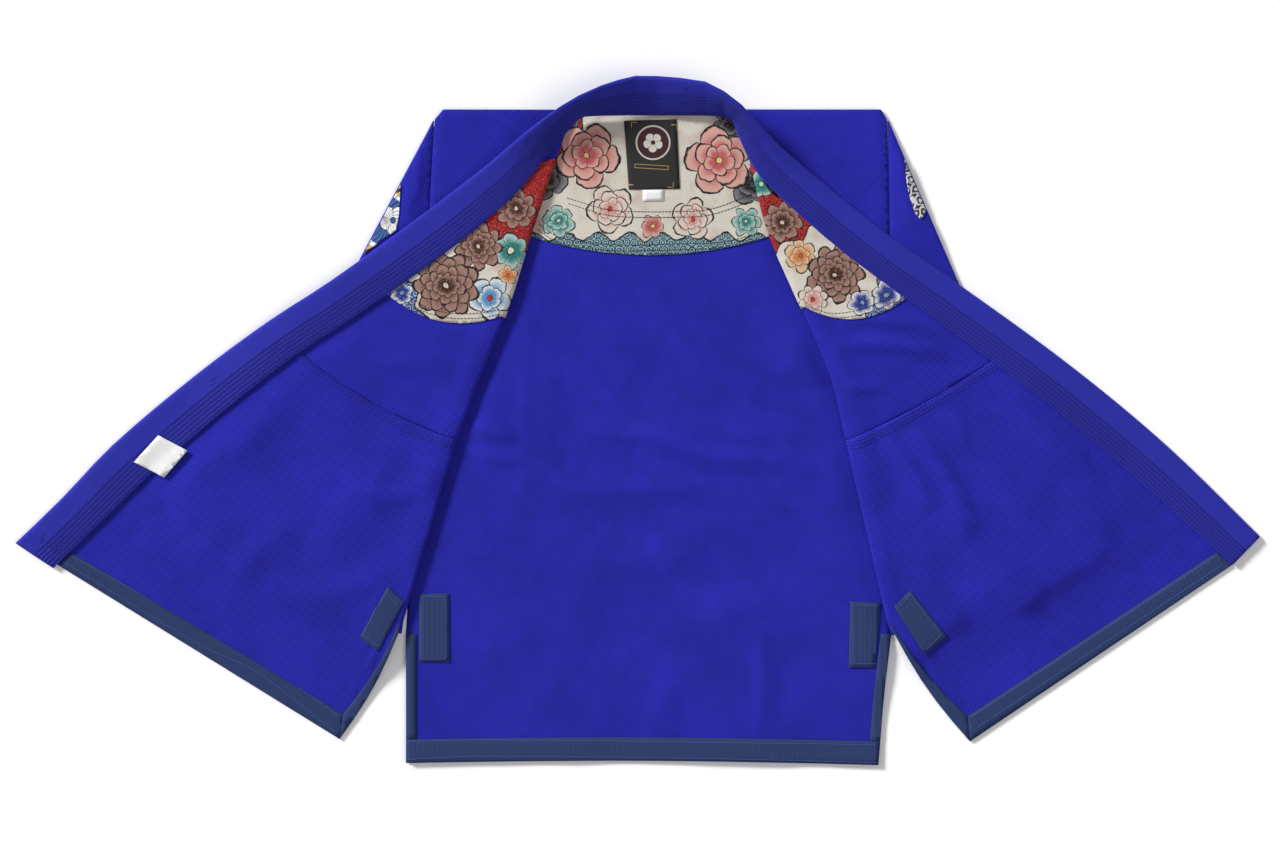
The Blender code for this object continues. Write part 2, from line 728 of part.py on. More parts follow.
def slant(way, start, end):
    """How much longer a slanting cut across an edge is than a square one."""
    edge = (end - start) / np.linalg.norm(end - start)
    return 1 / abs(float(way[0] * edge[1] - way[1] * edge[0]))


def ring_points(right, share):
    """One ring of the sleeve: lower wall, turn at the underarm, upper wall, turn at the shoulder."""
    head, armpit, cuff_low, cuff_top = sleeve_corners(right)
    upper, lower = sleeve_ring(right, share)
    way = (lower - upper) / np.linalg.norm(lower - upper)
    radius = sleeve_rise(share, 0) / 2
    start_slant = slant(way, head, cuff_top)
    end_slant = slant(way, armpit, cuff_low)
    start = upper + way * (radius + CLOTH / 2) * start_slant
    end = lower - way * (radius + CLOTH / 2) * end_slant
    bottom = CLOTH / 2
    turn_gap = 2 * SEAM_GAP + CLOTH / 2
    ring = []
    for across in SLEEVE_ACROSS:
        x, y = clear_of_body(mix(start, end, across), right, SEAM_GAP)
        ring.append((x, y, bottom))
    for turn in SLEEVE_TURNS:
        angle = math.radians(turn)
        x, y = clear_of_body(end + way * radius * end_slant * math.sin(angle), right, turn_gap)
        ring.append((x, y, bottom + radius * (1 - math.cos(angle))))
    for across in reversed(SLEEVE_ACROSS):
        x, y = clear_of_body(mix(start, end, across), right, 3 * SEAM_GAP)
        ring.append((x, y, bottom + sleeve_rise(share, across)))
    for turn in SLEEVE_TURNS:
        angle = math.radians(turn)
        x, y = clear_of_body(start - way * radius * start_slant * math.sin(angle), right, turn_gap)
        ring.append((x, y, bottom + radius * (1 + math.cos(angle))))
    return ring + [ring[0]]


def make_sleeve(name, right, cloth, collection):
    rings = [ring_points(right, share) for share in SLEEVE_SHARES]
    return cloth_wall(name, rings, CLOTH, cloth, collection, tube=True)


def clear_of_band(point, right):
    """How far a place in plan lies above the band's outer edge; below 0 it is under the band."""
    nearest, signed = math.inf, 0.0
    rows = [row for row in BAND_ROWS if (row.outer_x > 20) == right]
    for first, second in zip(rows, rows[1:]):
        a, b = plan_point(first.outer_x, first.outer_y), plan_point(second.outer_x, second.outer_y)
        found, share = segment_distance(point, a, b)
        if found < nearest:
            above = point[1] > mix(a, b, share)[1]
            nearest, signed = found, found if above else -found
    return signed


def make_badge(badge, right, sleeve, thread, collection):
    """An embroidered badge on the sleeve's upper edge, cut off where the band covers it."""
    tree = surface_of(sleeve)
    up = SEAM_GAP + LAID_SLACK + BADGE / 2
    radius = (badge.end - badge.start) / 2
    rows = []
    for i in range(BADGE_STEPS + 1):
        along = mix(badge.start, badge.end, i / BADGE_STEPS)
        upper, lower = sleeve_ring(right, along / SLEEVE_LENGTH)
        way = (lower - upper) / np.linalg.norm(lower - upper)
        offset = (along - (badge.start + badge.end) / 2) / radius
        roundness = math.sqrt(max(1 - offset * offset, 0.0))
        reach = mix(BADGE_LEAST_REACH, badge.depth, roundness)
        while reach > BADGE_LEAST_REACH:
            if clear_of_band(upper + way * reach, right) >= BADGE_BAND_CLEARANCE:
                break
            reach -= 1
        row = []
        for j in range(BADGE_COLUMNS + 1):
            x, y = upper + way * mix(BADGE_SETBACK, reach, j / BADGE_COLUMNS)
            row.append((x, y, height_on(tree, x, y) + up))
        rows.append(row)
    return cloth_wall(badge.name, rows, BADGE, thread, collection)


def band_profile(width):
    """The band's section: place across from the inner edge, height, with a rebate under its lip."""
    return (
        (0.0, LIP_CLEARANCE),
        (0.0, BAND - EDGE_ROUND),
        (EDGE_ROUND, BAND - 0.2),
        (width * 0.35, BAND),
        (width * 0.65, BAND),
        (width - 2 * EDGE_ROUND, BAND - 0.2),
        (width - 0.5, BAND - 1.8),
        (width, BAND / 2),
        (width - 0.5, 1.6),
        (width - 2 * EDGE_ROUND, 0.0),
        (width * 0.68, 0.0),
        (LIP_DEPTH, 0.0),
        (LIP_DEPTH, LIP_CLEARANCE),
    )


def make_band(cloth, collection):
    """The lapel band from foot to foot, arched up where it turns round the back of the neck."""
    sections = []
    for outer_x, outer_y, inner_x, inner_y, lift in smooth_rows(BAND_ROWS, 2):
        inner, outer = plan_point(inner_x, inner_y), plan_point(outer_x, outer_y)
        plan_width = float(np.linalg.norm(outer - inner))
        way = (outer - inner) / plan_width
        lift = max(lift, 0.0)
        width = math.hypot(plan_width, lift)
        lean, climb = plan_width / width, lift / width
        section = []
        for place, height in band_profile(width):
            x, y = inner + way * (place * lean - height * climb)
            base = max(rest_height(*(inner + way * place * lean)), NAPE_BASE * climb)
            section.append((x, y, base + place * climb + height * lean))
        sections.append(section)
    return solid_loft("lapel_band", sections, cloth, collection)


def main():
    for item in list(bpy.data.objects):
        bpy.data.objects.remove(item, do_unlink=True)
    collection = bpy.data.collections.new("gi_jacket")
    bpy.context.scene.collection.children.link(collection)
    cloth = surface_material("blue_pearl_weave", (0.022, 0.023, 0.38), 0.85)
    twill = surface_material("blue_band_twill", (0.026, 0.029, 0.36), 0.8)
    tape = surface_material("navy_twill_tape", (0.02, 0.04, 0.13), 0.75)
    lining = surface_material("printed_lining", (0.78, 0.7, 0.66), 0.7)
    black = surface_material("black_label", (0.012, 0.012, 0.014), 0.6)
    white = surface_material("white_label", (0.85, 0.85, 0.84), 0.6)
    gold = surface_material("gold_thread", (0.35, 0.2, 0.06), 0.55)
    grey = surface_material("grey_thread", (0.35, 0.35, 0.36), 0.55)

    back = make_back(cloth, tape, collection)
    yoke_top = make_yoke_back(lining, collection)
    skirts = {}
    for side_name, right in (("left", False), ("right", True)):
        skirts[right] = make_fronts(side_name, right, cloth, lining, tape, collection)
    for name, badge, right, thread in (
        ("sleeve_left", BADGE_LEFT, False, gold),
        ("sleeve_right", BADGE_RIGHT, True, grey),
    ):
        sleeve = make_sleeve(name, right, cloth, collection)
        make_badge(badge, right, sleeve, thread, collection)
    make_band(twill, collection)
    for name, corners, panel in (
        ("slit_patch_back_left", PATCH_BACK_LEFT, back),
        ("slit_patch_back_right", PATCH_BACK_RIGHT, back),
        ("slit_patch_front_left", PATCH_FRONT_LEFT, skirts[False]),
        ("slit_patch_front_right", PATCH_FRONT_RIGHT, skirts[True]),
    ):
        laid_piece(name, corners, panel, TAPE, (6, 3), tape, collection)
    above_yoke = yoke_top + SEAM_GAP
    flat_piece("label", LABEL_CORNERS, above_yoke, LABEL, black, collection)
    flat_piece("size_tab", SIZE_TAB_CORNERS, above_yoke, TAB, white, collection)
    make_care_label(white, collection)


main()
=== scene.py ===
"""Looks of a jiu-jitsu jacket laid flat on its back with both fronts turned out.

Lengths in the tables are in millimetres, in the frame of the jacket: +X to the viewer's right,
+Y from the hem to the collar, +Z up from the surface that it lies on.
"""

import math
from collections import namedtuple
from functools import partialmethod

import bmesh
import bpy
import numpy as np
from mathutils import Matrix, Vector
from mathutils.bvhtree import BVHTree


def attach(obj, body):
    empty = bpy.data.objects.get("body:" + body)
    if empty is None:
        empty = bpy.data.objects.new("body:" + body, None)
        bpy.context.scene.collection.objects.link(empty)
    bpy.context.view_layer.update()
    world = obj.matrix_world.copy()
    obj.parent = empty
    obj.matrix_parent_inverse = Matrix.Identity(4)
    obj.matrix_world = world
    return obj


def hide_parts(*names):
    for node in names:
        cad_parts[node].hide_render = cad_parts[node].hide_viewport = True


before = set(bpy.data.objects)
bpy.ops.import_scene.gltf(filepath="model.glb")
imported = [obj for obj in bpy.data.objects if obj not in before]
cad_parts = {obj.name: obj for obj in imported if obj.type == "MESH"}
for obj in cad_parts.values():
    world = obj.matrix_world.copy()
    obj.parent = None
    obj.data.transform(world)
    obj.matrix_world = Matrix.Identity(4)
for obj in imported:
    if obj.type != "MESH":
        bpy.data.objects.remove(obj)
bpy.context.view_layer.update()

bl_info = {
    "name": "Jiu-jitsu jacket",
    "version": (1, 0, 0),
    "blender": (4, 5, 0),
    "location": "3D View > Sidebar > Jacket",
    "description": "A laid-out jiu-jitsu jacket with its weave, stitching, lining and badges",
    "category": "Object",
}

MM = 0.001
BODY = "root"

# Cloth pieces: the solid each one follows, the angle of its grain, the cell it is cut into, how far
# it is raised, the flat cut and area in metres, and what it lies on
Cloth = namedtuple("Cloth", "node grain cell rise width length area rests_on")
SHELL = (
    Cloth("back", 0, 7, 0, 0.60, 0.80, 0.470, ()),
    Cloth("sleeve_left", 28, 8, 0, 0.26, 0.56, 0.117, ()),
    Cloth("sleeve_right", -23, 8, 0, 0.26, 0.56, 0.110, ()),
    Cloth("front_left", -27, 6, 0, 0.36, 0.40, 0.093, ("back", "sleeve_left")),
    Cloth("front_right", 27, 6, 0, 0.36, 0.40, 0.092, ("back", "sleeve_right")),
    Cloth("skirt_left", -33, 7, 0, 0.45, 0.42, 0.139, ("back", "sleeve_left")),
    Cloth("skirt_right", 33, 7, 0, 0.45, 0.42, 0.137, ("back", "sleeve_right")),
)
BAND = Cloth("lapel_band", 0, 6, 0, 2.20, 0.060, 0.108, ("back", "front_left", "front_right"))
LINING = (
    Cloth("yoke_back", 0, 6, 0.25, 0.315, 0.180, 0.046, ("back",)),
    Cloth("yoke_left", 0, 6, 0.45, 0.22, 0.21, 0.0187, ("front_left",)),
    Cloth("yoke_right", 0, 6, 0.45, 0.20, 0.20, 0.0151, ("front_right",)),
)
# Edges of the slits: their grain, how far their patch is raised, and what they lie on
SLIT_EDGES = (
    ("back_left", 0, 0.3, "back"),
    ("back_right", 0, 0.3, "back"),
    ("front_left", -33, 0.4, "skirt_left"),
    ("front_right", 33, 0.4, "skirt_right"),
)
TAPES = (
    Cloth("hem_tape_back", 0, 7, 0.2, 0.60, 0.031, 0.0169, ("back",)),
    Cloth("hem_tape_left", -33, 7, 0.2, 0.41, 0.031, 0.0101, ("skirt_left",)),
    Cloth("hem_tape_right", 33, 7, 0.2, 0.40, 0.031, 0.0097, ("skirt_right",)),
    *(
        Cloth(f"slit_tape_{edge}", grain, 6, 0.2, 0.014, 0.14, 0.0015, (under,))
        for edge, grain, _, under in SLIT_EDGES
    ),
    *(
        Cloth(f"slit_patch_{edge}", grain, 6, rise, 0.045, 0.070, 0.0025, (under,))
        for edge, grain, rise, under in SLIT_EDGES
    ),
)
LABELS = (
    Cloth("label", 4, 5, 0.35, 0.065, 0.087, 0.0055, ("yoke_back",)),
    Cloth("size_tab", 4, 5, 0.35, 0.026, 0.0145, 0.00036, ("yoke_back",)),
    Cloth("care_label", 29, 6, 0.3, 0.043, 0.042, 0.00175, ("lapel_band",)),
)
BADGES = (
    Cloth("badge_left", 0, 5, 0.2, 0.040, 0.085, 0.0011, ("sleeve_left",)),
    Cloth("badge_right", 0, 5, 0.2, 0.026, 0.070, 0.0007, ("sleeve_right",)),
)
ON_BACK = {"back", "label", "size_tab"} | {cloth.node for cloth in LINING + TAPES if "back" in cloth.rests_on}

# Lapel band, one row for each section, from its left foot over the nape to its right one
BandRow = namedtuple("BandRow", "outer_x outer_y inner_x inner_y")
BAND_ROWS = (
    BandRow(-768, -150, -721, -181),
    BandRow(-712, -96, -674, -136),
    BandRow(-648, -29, -607, -71),
    BandRow(-546, 57, -511, 12),
    BandRow(-455, 124, -422, 81),
    BandRow(-379, 173, -350, 128),
    BandRow(-259, 260, -226, 216),
    BandRow(-181, 320, -148, 284),
    BandRow(-139, 356, -110, 333),
    BandRow(-96, 387, -77, 374),
    BandRow(-72, 401, -66, 380),
    BandRow(-45, 413, -48, 380),
    BandRow(-3, 425, -3, 380),
    BandRow(24, 425, 24, 380),
    BandRow(83, 418, 82, 380),
    BandRow(106, 406, 104, 380),
    BandRow(128, 389, 119, 373),
    BandRow(157, 358, 131, 344),
    BandRow(188, 328, 151, 303),
    BandRow(262, 267, 231, 227),
    BandRow(318, 223, 287, 183),
    BandRow(400, 166, 370, 123),
    BandRow(539, 65, 505, 22),
    BandRow(652, -29, 615, -70),
    BandRow(768, -142, 734, -177),
)
BAND_WIDTH = 59
BAND_STITCH_ROWS = (3.0, 8.0, 13.2, 18.2, 23.4, 28.6)

# Creases, each a soft ridge along a line of points. The first lift all that lies on
# the back, the second only what is turned out over it, and the last the sleeves.
Crease = namedtuple("Crease", "height width points")
BODY_CREASES = (
    Crease(3.0, 12, ((-70, -4), (-25, -16), (14, -18), (90, -44), (178, -50), (222, -66))),
    Crease(1.9, 15, ((8, 18), (62, -4), (120, -14), (182, -18), (214, -30))),
    Crease(2.2, 17, ((-150, -60), (-95, -84), (-30, -88), (60, -82), (120, -96))),
    Crease(2.6, 9, ((-206, -2), (-178, -14), (-150, -20))),
    Crease(2.2, 9, ((-204, -34), (-170, -46), (-140, -44))),
    Crease(2.4, 13, ((22, 128), (50, 104), (80, 66), (116, 26))),
    Crease(1.6, 13, ((58, 122), (92, 96), (128, 52), (148, 22))),
    Crease(2.4, 9, ((166, 100), (190, 84), (222, 70))),
    Crease(2.2, 8, ((178, 76), (206, 62), (232, 46))),
    Crease(1.2, 12, ((-138, 150), (-136, 60), (-138, -30), (-134, -80))),
    Crease(1.0, 14, ((-112, 120), (-110, 20), (-114, -70))),
    Crease(1.5, 26, ((-60, 170), (-20, 110), (0, 50))),
    Crease(1.6, 24, ((130, -120), (60, -160), (-30, -172), (-130, -150))),
    Crease(1.5, 22, ((190, -190), (110, -238), (0, -246))),
    Crease(1.5, 24, ((-210, -220), (-130, -284), (-70, -350))),
    Crease(1.3, 10, ((152, -250), (156, -320), (150, -392))),
    Crease(1.2, 18, ((40, -290), (30, -350), (40, -404))),
)
FLAP_CREASES = (
    Crease(2.6, 8, ((242, 122), (290, 126), (350, 118), (398, 108))),
    Crease(2.4, 9, ((236, 92), (280, 96), (330, 92), (384, 80))),
    Crease(1.8, 8, ((244, 44), (274, 40), (304, 44))),
    Crease(2.4, 11, ((300, -18), (330, -52), (352, -92), (362, -112))),
    Crease(2.8, 11, ((336, -8), (368, -46), (396, -92), (410, -140))),
    Crease(1.8, 8, ((384, 14), (398, -8), (404, -30))),
    Crease(2.0, 16, ((452, 30), (500, -20), (560, -60), (610, -92))),
    Crease(2.0, 16, ((420, -150), (470, -210), (540, -252))),
    Crease(1.8, 16, ((340, -180), (396, -250), (424, -320))),
    Crease(1.5, 18, ((520, -90), (580, -140), (650, -168))),
    Crease(1.6, 13, ((-226, 60), (-270, 74), (-330, 70))),
    Crease(2.0, 14, ((-246, -70), (-300, -92), (-370, -88))),
    Crease(1.8, 18, ((-430, 40), (-480, -20), (-530, -60))),
    Crease(1.8, 20, ((-300, -180), (-380, -216), (-470, -206))),
    Crease(1.8, 18, ((-410, -110), (-480, -176), (-530, -250))),
    Crease(1.5, 15, ((-560, -84), (-610, -132), (-650, -160))),
)
SLEEVE_CREASES = (
    Crease(2.2, 9, ((-262, 372), (-268, 330), (-276, 286), (-290, 252))),
    Crease(1.8, 12, ((-292, 372), (-306, 330), (-324, 286))),
    Crease(1.6, 10, ((-270, 250), (-300, 236), (-338, 196))),
    Crease(2.2, 9, ((318, 372), (322, 330), (334, 286), (346, 256))),
    Crease(1.8, 12, ((346, 366), (356, 330), (366, 290))),
    Crease(1.6, 10, ((330, 262), (360, 240), (392, 200))),
)

# Felled seams below the fronts, each a low flat ridge just under the seam
SEAM_LEFT = ((-416, 86), (-368, 54), (-312, 14), (-257, -13), (-223, -23))
SEAM_RIGHT = ((437, 75), (380, 40), (330, 10), (274, -20), (256, -23))
FELL_ROWS = (3.0, 7.0, 11.0)
FELL_HEIGHT = 0.6
FELL_WIDTH = 11
FELL_EDGE = 5
FELL_FADE = 12

# Slow unevenness of laid cloth: direction, wavelength, height and start of each swell
Swell = namedtuple("Swell", "angle wavelength height phase")
SWELLS = (
    Swell(12, 210, 0.34, 0.4),
    Swell(71, 165, 0.30, 1.7),
    Swell(118, 128, 0.22, 3.0),
    Swell(38, 92, 0.14, 4.4),
    Swell(154, 74, 0.10, 5.1),
)

# Heights between which the turned-out layer starts, and how far creases keep from band and folds
FLAP_FROM = 5.2
FLAP_BLEND = 2.6
BAND_FADE = 24
TURN_FADE = 20

# Lines at which the fronts turn over, from the collar down to the slit
TURN_LEFT = (
    (-80, 384), (-101, 323), (-131, 233), (-164, 128), (-195, 51), (-223, -23), (-266, -171), (-291, -262),
)
TURN_RIGHT = (
    (116, 384), (139, 318), (162, 231), (202, 139), (237, 57), (256, -23), (289, -171), (313, -264),
)

# Sewing: what each run is sewn on and its line
Sewn = namedtuple("Sewn", "node points")
HEM_RUNS = (
    Sewn("hem_tape_back", ((-283, -395), (-195, -393), (92, -396), (294, -399))),
    Sewn("hem_tape_back", ((-284, -417), (-195, -413), (92, -416), (294, -421))),
    Sewn("hem_tape_left", ((-699, -166), (-478, -289), (-369, -363))),
    Sewn("hem_tape_left", ((-706, -175), (-538, -277), (-470, -309), (-374, -383))),
    Sewn("hem_tape_right", ((714, -166), (412, -365))),
    Sewn("hem_tape_right", ((722, -177), (420, -377))),
)
BOX_RUNS = (
    Sewn("slit_patch_back_left", ((-266, -216), (-237, -216), (-237, -293), (-266, -293))),
    Sewn("slit_patch_back_right", ((297, -227), (266, -227), (266, -299), (294, -299))),
    Sewn("slit_patch_front_left", ((-295, -227), (-313, -208), (-338, -264), (-319, -277))),
    Sewn("slit_patch_front_right", ((322, -229), (337, -213), (374, -263), (356, -281))),
)
ARMHOLE_RUNS = (
    Sewn("back", ((-246, 380), (-247, 330), (-250, 262))),
    Sewn("back", ((-241, 380), (-242, 330), (-245, 262))),
    Sewn("back", ((300, 381), (302, 330), (306, 272))),
    Sewn("back", ((295, 381), (297, 330), (301, 276))),
)
LINING_RUNS = (
    Sewn("yoke_back", ((-124, 237), (-96, 220), (-33, 211), (46, 212), (109, 215), (148, 225))),
    Sewn("yoke_back", ((-122, 244), (-96, 227), (-33, 218), (46, 219), (109, 222), (146, 232))),
    Sewn("yoke_back", ((-88, 276), (-40, 262), (-8, 259), (46, 259), (90, 262), (140, 280))),
    Sewn("yoke_back", ((-86, 269), (-40, 255), (-8, 252), (46, 252), (90, 255), (142, 273))),
    Sewn("yoke_left", ((-296, 152), (-281, 145), (-257, 133), (-226, 127), (-189, 128), (-172, 132))),
    Sewn("yoke_left", ((-290, 156), (-278, 151), (-256, 139), (-226, 133), (-189, 134), (-170, 138))),
    Sewn("yoke_right", ((318, 150), (308, 144), (276, 132), (239, 127), (216, 133), (208, 139))),
    Sewn("yoke_right", ((312, 154), (304, 150), (275, 138), (240, 133), (218, 139), (206, 147))),
)
TACK_RUNS = (
    Sewn("lapel_band", ((-738, -150), (-733, -146), (-738, -143), (-732, -139))),
    Sewn("lapel_band", ((-722, -164), (-717, -160), (-722, -157), (-716, -153))),
    Sewn("lapel_band", ((-527, 44), (-521, 48), (-526, 51), (-519, 55))),
)
THREAD_RADIUS = 0.5

# Stitches fall from this height in metres and keep off cloth whose normal points up less than this
RAY_HEIGHT = 0.2
LEAST_UP = 0.35

# Printed lining: areas past a wavy line, then flowers over them, each later one over the earlier
RED = ((0.52, 0.02, 0.02), (0.10, 0.01, 0.01))
BLUE = ((0.015, 0.05, 0.30), (0.50, 0.62, 0.75))
SEA = ((0.02, 0.10, 0.16), (0.45, 0.62, 0.62))
Area = namedtuple("Area", "along_x along_y past colour lines")
BACK_AREAS = (
    Area(0.0, -1.0, -228, *SEA),
    Area(-0.8, 0.6, 276, *RED),
    Area(0.8, 0.6, 308, *RED),
)
LEFT_AREAS = (
    Area(0.5, 0.86, 112, *RED),
    Area(-0.94, -0.34, 205, *BLUE),
)
RIGHT_AREAS = (
    Area(-0.5, 0.86, 96, *RED),
    Area(0.94, -0.34, 222, *BLUE),
)
CREAM = (0.80, 0.76, 0.66)
INK = (0.012, 0.011, 0.014)
ROSE = ((0.62, 0.12, 0.13), (0.80, 0.45, 0.38), (0.80, 0.62, 0.20))
BLUSH = ((0.78, 0.38, 0.33), (0.82, 0.74, 0.64), (0.55, 0.05, 0.04))
BROWN = ((0.075, 0.026, 0.016), (0.42, 0.24, 0.19), (0.75, 0.62, 0.50))
SKY = ((0.10, 0.33, 0.62), (0.80, 0.84, 0.85), (0.60, 0.02, 0.02))
NAVY = ((0.02, 0.05, 0.32), (0.78, 0.80, 0.80), (0.20, 0.35, 0.60))
TEAL = ((0.02, 0.24, 0.22), (0.45, 0.66, 0.60), (0.80, 0.76, 0.60))
SOOT = ((0.014, 0.014, 0.018), (0.22, 0.22, 0.24), (0.05, 0.05, 0.06))
AMBER = ((0.75, 0.26, 0.08), (0.82, 0.60, 0.36), (0.70, 0.10, 0.05))
Flower = namedtuple("Flower", "x y radius petals turn colours rings")
BACK_FLOWERS = (
    Flower(-112, 300, 27, 4, 0.3, SOOT, 2),
    Flower(-96, 366, 26, 5, 0.9, SOOT, 2),
    Flower(140, 292, 27, 4, 0.6, SOOT, 2),
    Flower(116, 368, 26, 5, 0.2, SOOT, 2),
    Flower(-62, 328, 42, 5, 0.2, ROSE, 3),
    Flower(100, 322, 44, 5, 0.75, ROSE, 3),
    Flower(-34, 262, 31, 5, 0.5, BLUSH, 3),
    Flower(68, 250, 27, 5, 1.1, BLUSH, 3),
    Flower(18, 241, 15, 6, 0.1, ROSE, 1),
    Flower(-98, 247, 21, 6, 0.4, TEAL, 2),
    Flower(134, 246, 19, 6, 0.0, TEAL, 2),
)
LEFT_FLOWERS = (
    Flower(-150, 262, 26, 8, 0.2, BROWN, 2),
    Flower(-156, 210, 23, 6, 0.5, TEAL, 1),
    Flower(-196, 216, 31, 9, 0.1, BROWN, 3),
    Flower(-292, 158, 15, 6, 0.6, NAVY, 1),
    Flower(-182, 152, 28, 5, 0.3, SKY, 2),
    Flower(-236, 168, 43, 9, 0.3, BROWN, 4),
    Flower(-160, 180, 12, 5, 0.9, AMBER, 1),
)
RIGHT_FLOWERS = (
    Flower(152, 292, 18, 5, 0.7, TEAL, 1),
    Flower(178, 246, 26, 8, 0.1, BROWN, 2),
    Flower(200, 204, 21, 6, 0.4, AMBER, 2),
    Flower(306, 156, 19, 6, 0.2, NAVY, 1),
    Flower(244, 182, 38, 9, 0.0, BROWN, 4),
    Flower(216, 150, 20, 8, 0.4, BLUSH, 2),
    Flower(276, 146, 17, 6, 0.8, NAVY, 1),
)
LINING_PRINT = {
    "yoke_back": (BACK_AREAS, BACK_FLOWERS),
    "yoke_left": (LEFT_AREAS, LEFT_FLOWERS),
    "yoke_right": (RIGHT_AREAS, RIGHT_FLOWERS),
}

LABEL_CENTRE = (18, 329)
LABEL_TURN = -3.5
LABEL_HALF = (29.0, 40.0)
LABEL_FLOWER_Y = 15.0
LABEL_BAR_Y = 15.0
BADGE_LEFT_CENTRE = (-312, 248)
BADGE_RIGHT_CENTRE = (344, 286)

# Stage: middle and width of what the camera sees in metres, its sensor in millimetres, the floor's
# side and its gap below the jacket in metres, the world's light and the suns
VIEW_CENTRE = (0.0028, -0.0062)
VIEW_WIDTH = 1.5808
SENSOR_WIDTH = 36
FLOOR_SIZE = 14
FLOOR_GAP = 0.0004
WORLD_LIGHT = 0.34
Sun = namedtuple("Sun", "name place angle power")
SUNS = (
    Sun("key", (-2.6, 1.9, 1.5), 14, 4.4),
    Sun("fill", (1.8, -1.2, 3.0), 40, 0.6),
)


class JacketLook(bpy.types.PropertyGroup):
    """Colours of the jacket, the scale of its weave and the depth of its creases."""

    cloth: bpy.props.FloatVectorProperty(
        name="Cloth", description="Colour of the pearl weave", subtype="COLOR", size=3,
        default=(0.0155, 0.0165, 0.335),
    )
    band: bpy.props.FloatVectorProperty(
        name="Band", description="Colour of the lapel band's twill", subtype="COLOR", size=3,
        default=(0.0175, 0.0205, 0.315),
    )
    tape: bpy.props.FloatVectorProperty(
        name="Tape", description="Colour of the hem and slit tapes", subtype="COLOR", size=3,
        default=(0.018, 0.036, 0.125),
    )
    weave_pitch: bpy.props.FloatProperty(
        name="Weave pitch", description="Distance between rows of pearls in the weave",
        subtype="DISTANCE", unit="LENGTH", default=0.0044,
    )
    crease: bpy.props.FloatProperty(
        name="Crease depth", description="Share of the creases' full height", subtype="FACTOR",
        min=0, max=2.5, default=1.7,
    )


class StageLook(bpy.types.PropertyGroup):
    """Floor, lights and camera."""

    floor: bpy.props.FloatVectorProperty(
        name="Floor", description="Colour of the surface that the jacket lies on", subtype="COLOR", size=3,
        default=(0.95, 0.95, 0.95),
    )
    light: bpy.props.FloatProperty(
        name="Light", description="Strength of the studio lights as a share of their full power",
        subtype="FACTOR", min=0, max=3, default=1.0,
    )
    focal: bpy.props.FloatProperty(
        name="Focal length", description="Focal length of the camera above the jacket", unit="CAMERA",
        default=110,
    )


def smooth(share):
    share = np.clip(share, 0.0, 1.0)
    return share * share * (3 - 2 * share)


def mix(a, b, share):
    return a + (b - a) * share


def shade(colour, share):
    return tuple(min(channel * share, 1.0) for channel in colour)


def smooth_line(points, parts):
    """A smooth curve through named points, as an array of places."""
    anchors = [np.array(point, float) for point in points]
    found = []
    for i in range(len(anchors) - 1):
        before, start = anchors[max(i - 1, 0)], anchors[i]
        end, after = anchors[i + 1], anchors[min(i + 2, len(anchors) - 1)]
        span = np.linalg.norm(end - start)
        lead_in = (end - before) * span / (span + np.linalg.norm(start - before))
        lead_out = (after - start) * span / (span + np.linalg.norm(after - end))
        for step in range(parts):
            t = step / parts
            found.append(
                start * (2 * t**3 - 3 * t**2 + 1)
                + end * (3 * t**2 - 2 * t**3)
                + lead_in * (t**3 - 2 * t**2 + t)
                + lead_out * (t**3 - t**2)
            )
    found.append(anchors[-1])
    return np.array(found)


def line_distance(places, line):
    """Distance in plan from each place to a line of points, and the share of its length there."""
    nearest = np.full(len(places), np.inf)
    share = np.zeros(len(places))
    lengths = np.linalg.norm(np.diff(line, axis=0), axis=1)
    starts = np.concatenate([[0.0], np.cumsum(lengths)])
    for i, (a, b) in enumerate(zip(line, line[1:])):
        along = b - a
        t = np.clip(((places - a) @ along) / (along @ along), 0.0, 1.0)
        distance = np.linalg.norm(places - a - t[:, None] * along, axis=1)
        closer = distance < nearest
        nearest[closer] = distance[closer]
        share[closer] = (starts[i] + t[closer] * lengths[i]) / starts[-1]
    return nearest, share


def crease_lift(places, creases):
    """How far these creases lift each place in plan, in millimetres."""
    lift = np.zeros(len(places))
    for crease in creases:
        distance, share = line_distance(places, smooth_line(crease.points, 5))
        ends = np.clip(np.sin(np.pi * share), 0.0, 1.0) ** 0.7
        lift += crease.height * np.exp(-((distance / crease.width) ** 2)) * ends
    return lift


def swell_lift(places):
    """How far the slow unevenness lifts each place in plan."""
    lift = np.zeros(len(places))
    for swell in SWELLS:
        turn = math.radians(swell.angle)
        across = places[:, 0] * math.cos(turn) + places[:, 1] * math.sin(turn)
        lift += swell.height * (1 + np.sin(2 * math.pi * across / swell.wavelength + swell.phase))
    return lift


BAND_INNER = smooth_line([(row.inner_x, row.inner_y) for row in BAND_ROWS], 4)
BAND_OUTER = smooth_line([(row.outer_x, row.outer_y) for row in BAND_ROWS], 4)
BAND_MIDDLE = (BAND_INNER + BAND_OUTER) / 2
TURNS = [smooth_line(line, 4) for line in (TURN_LEFT, TURN_RIGHT)]
SEAMS = [smooth_line(line, 4) for line in (SEAM_LEFT, SEAM_RIGHT)]


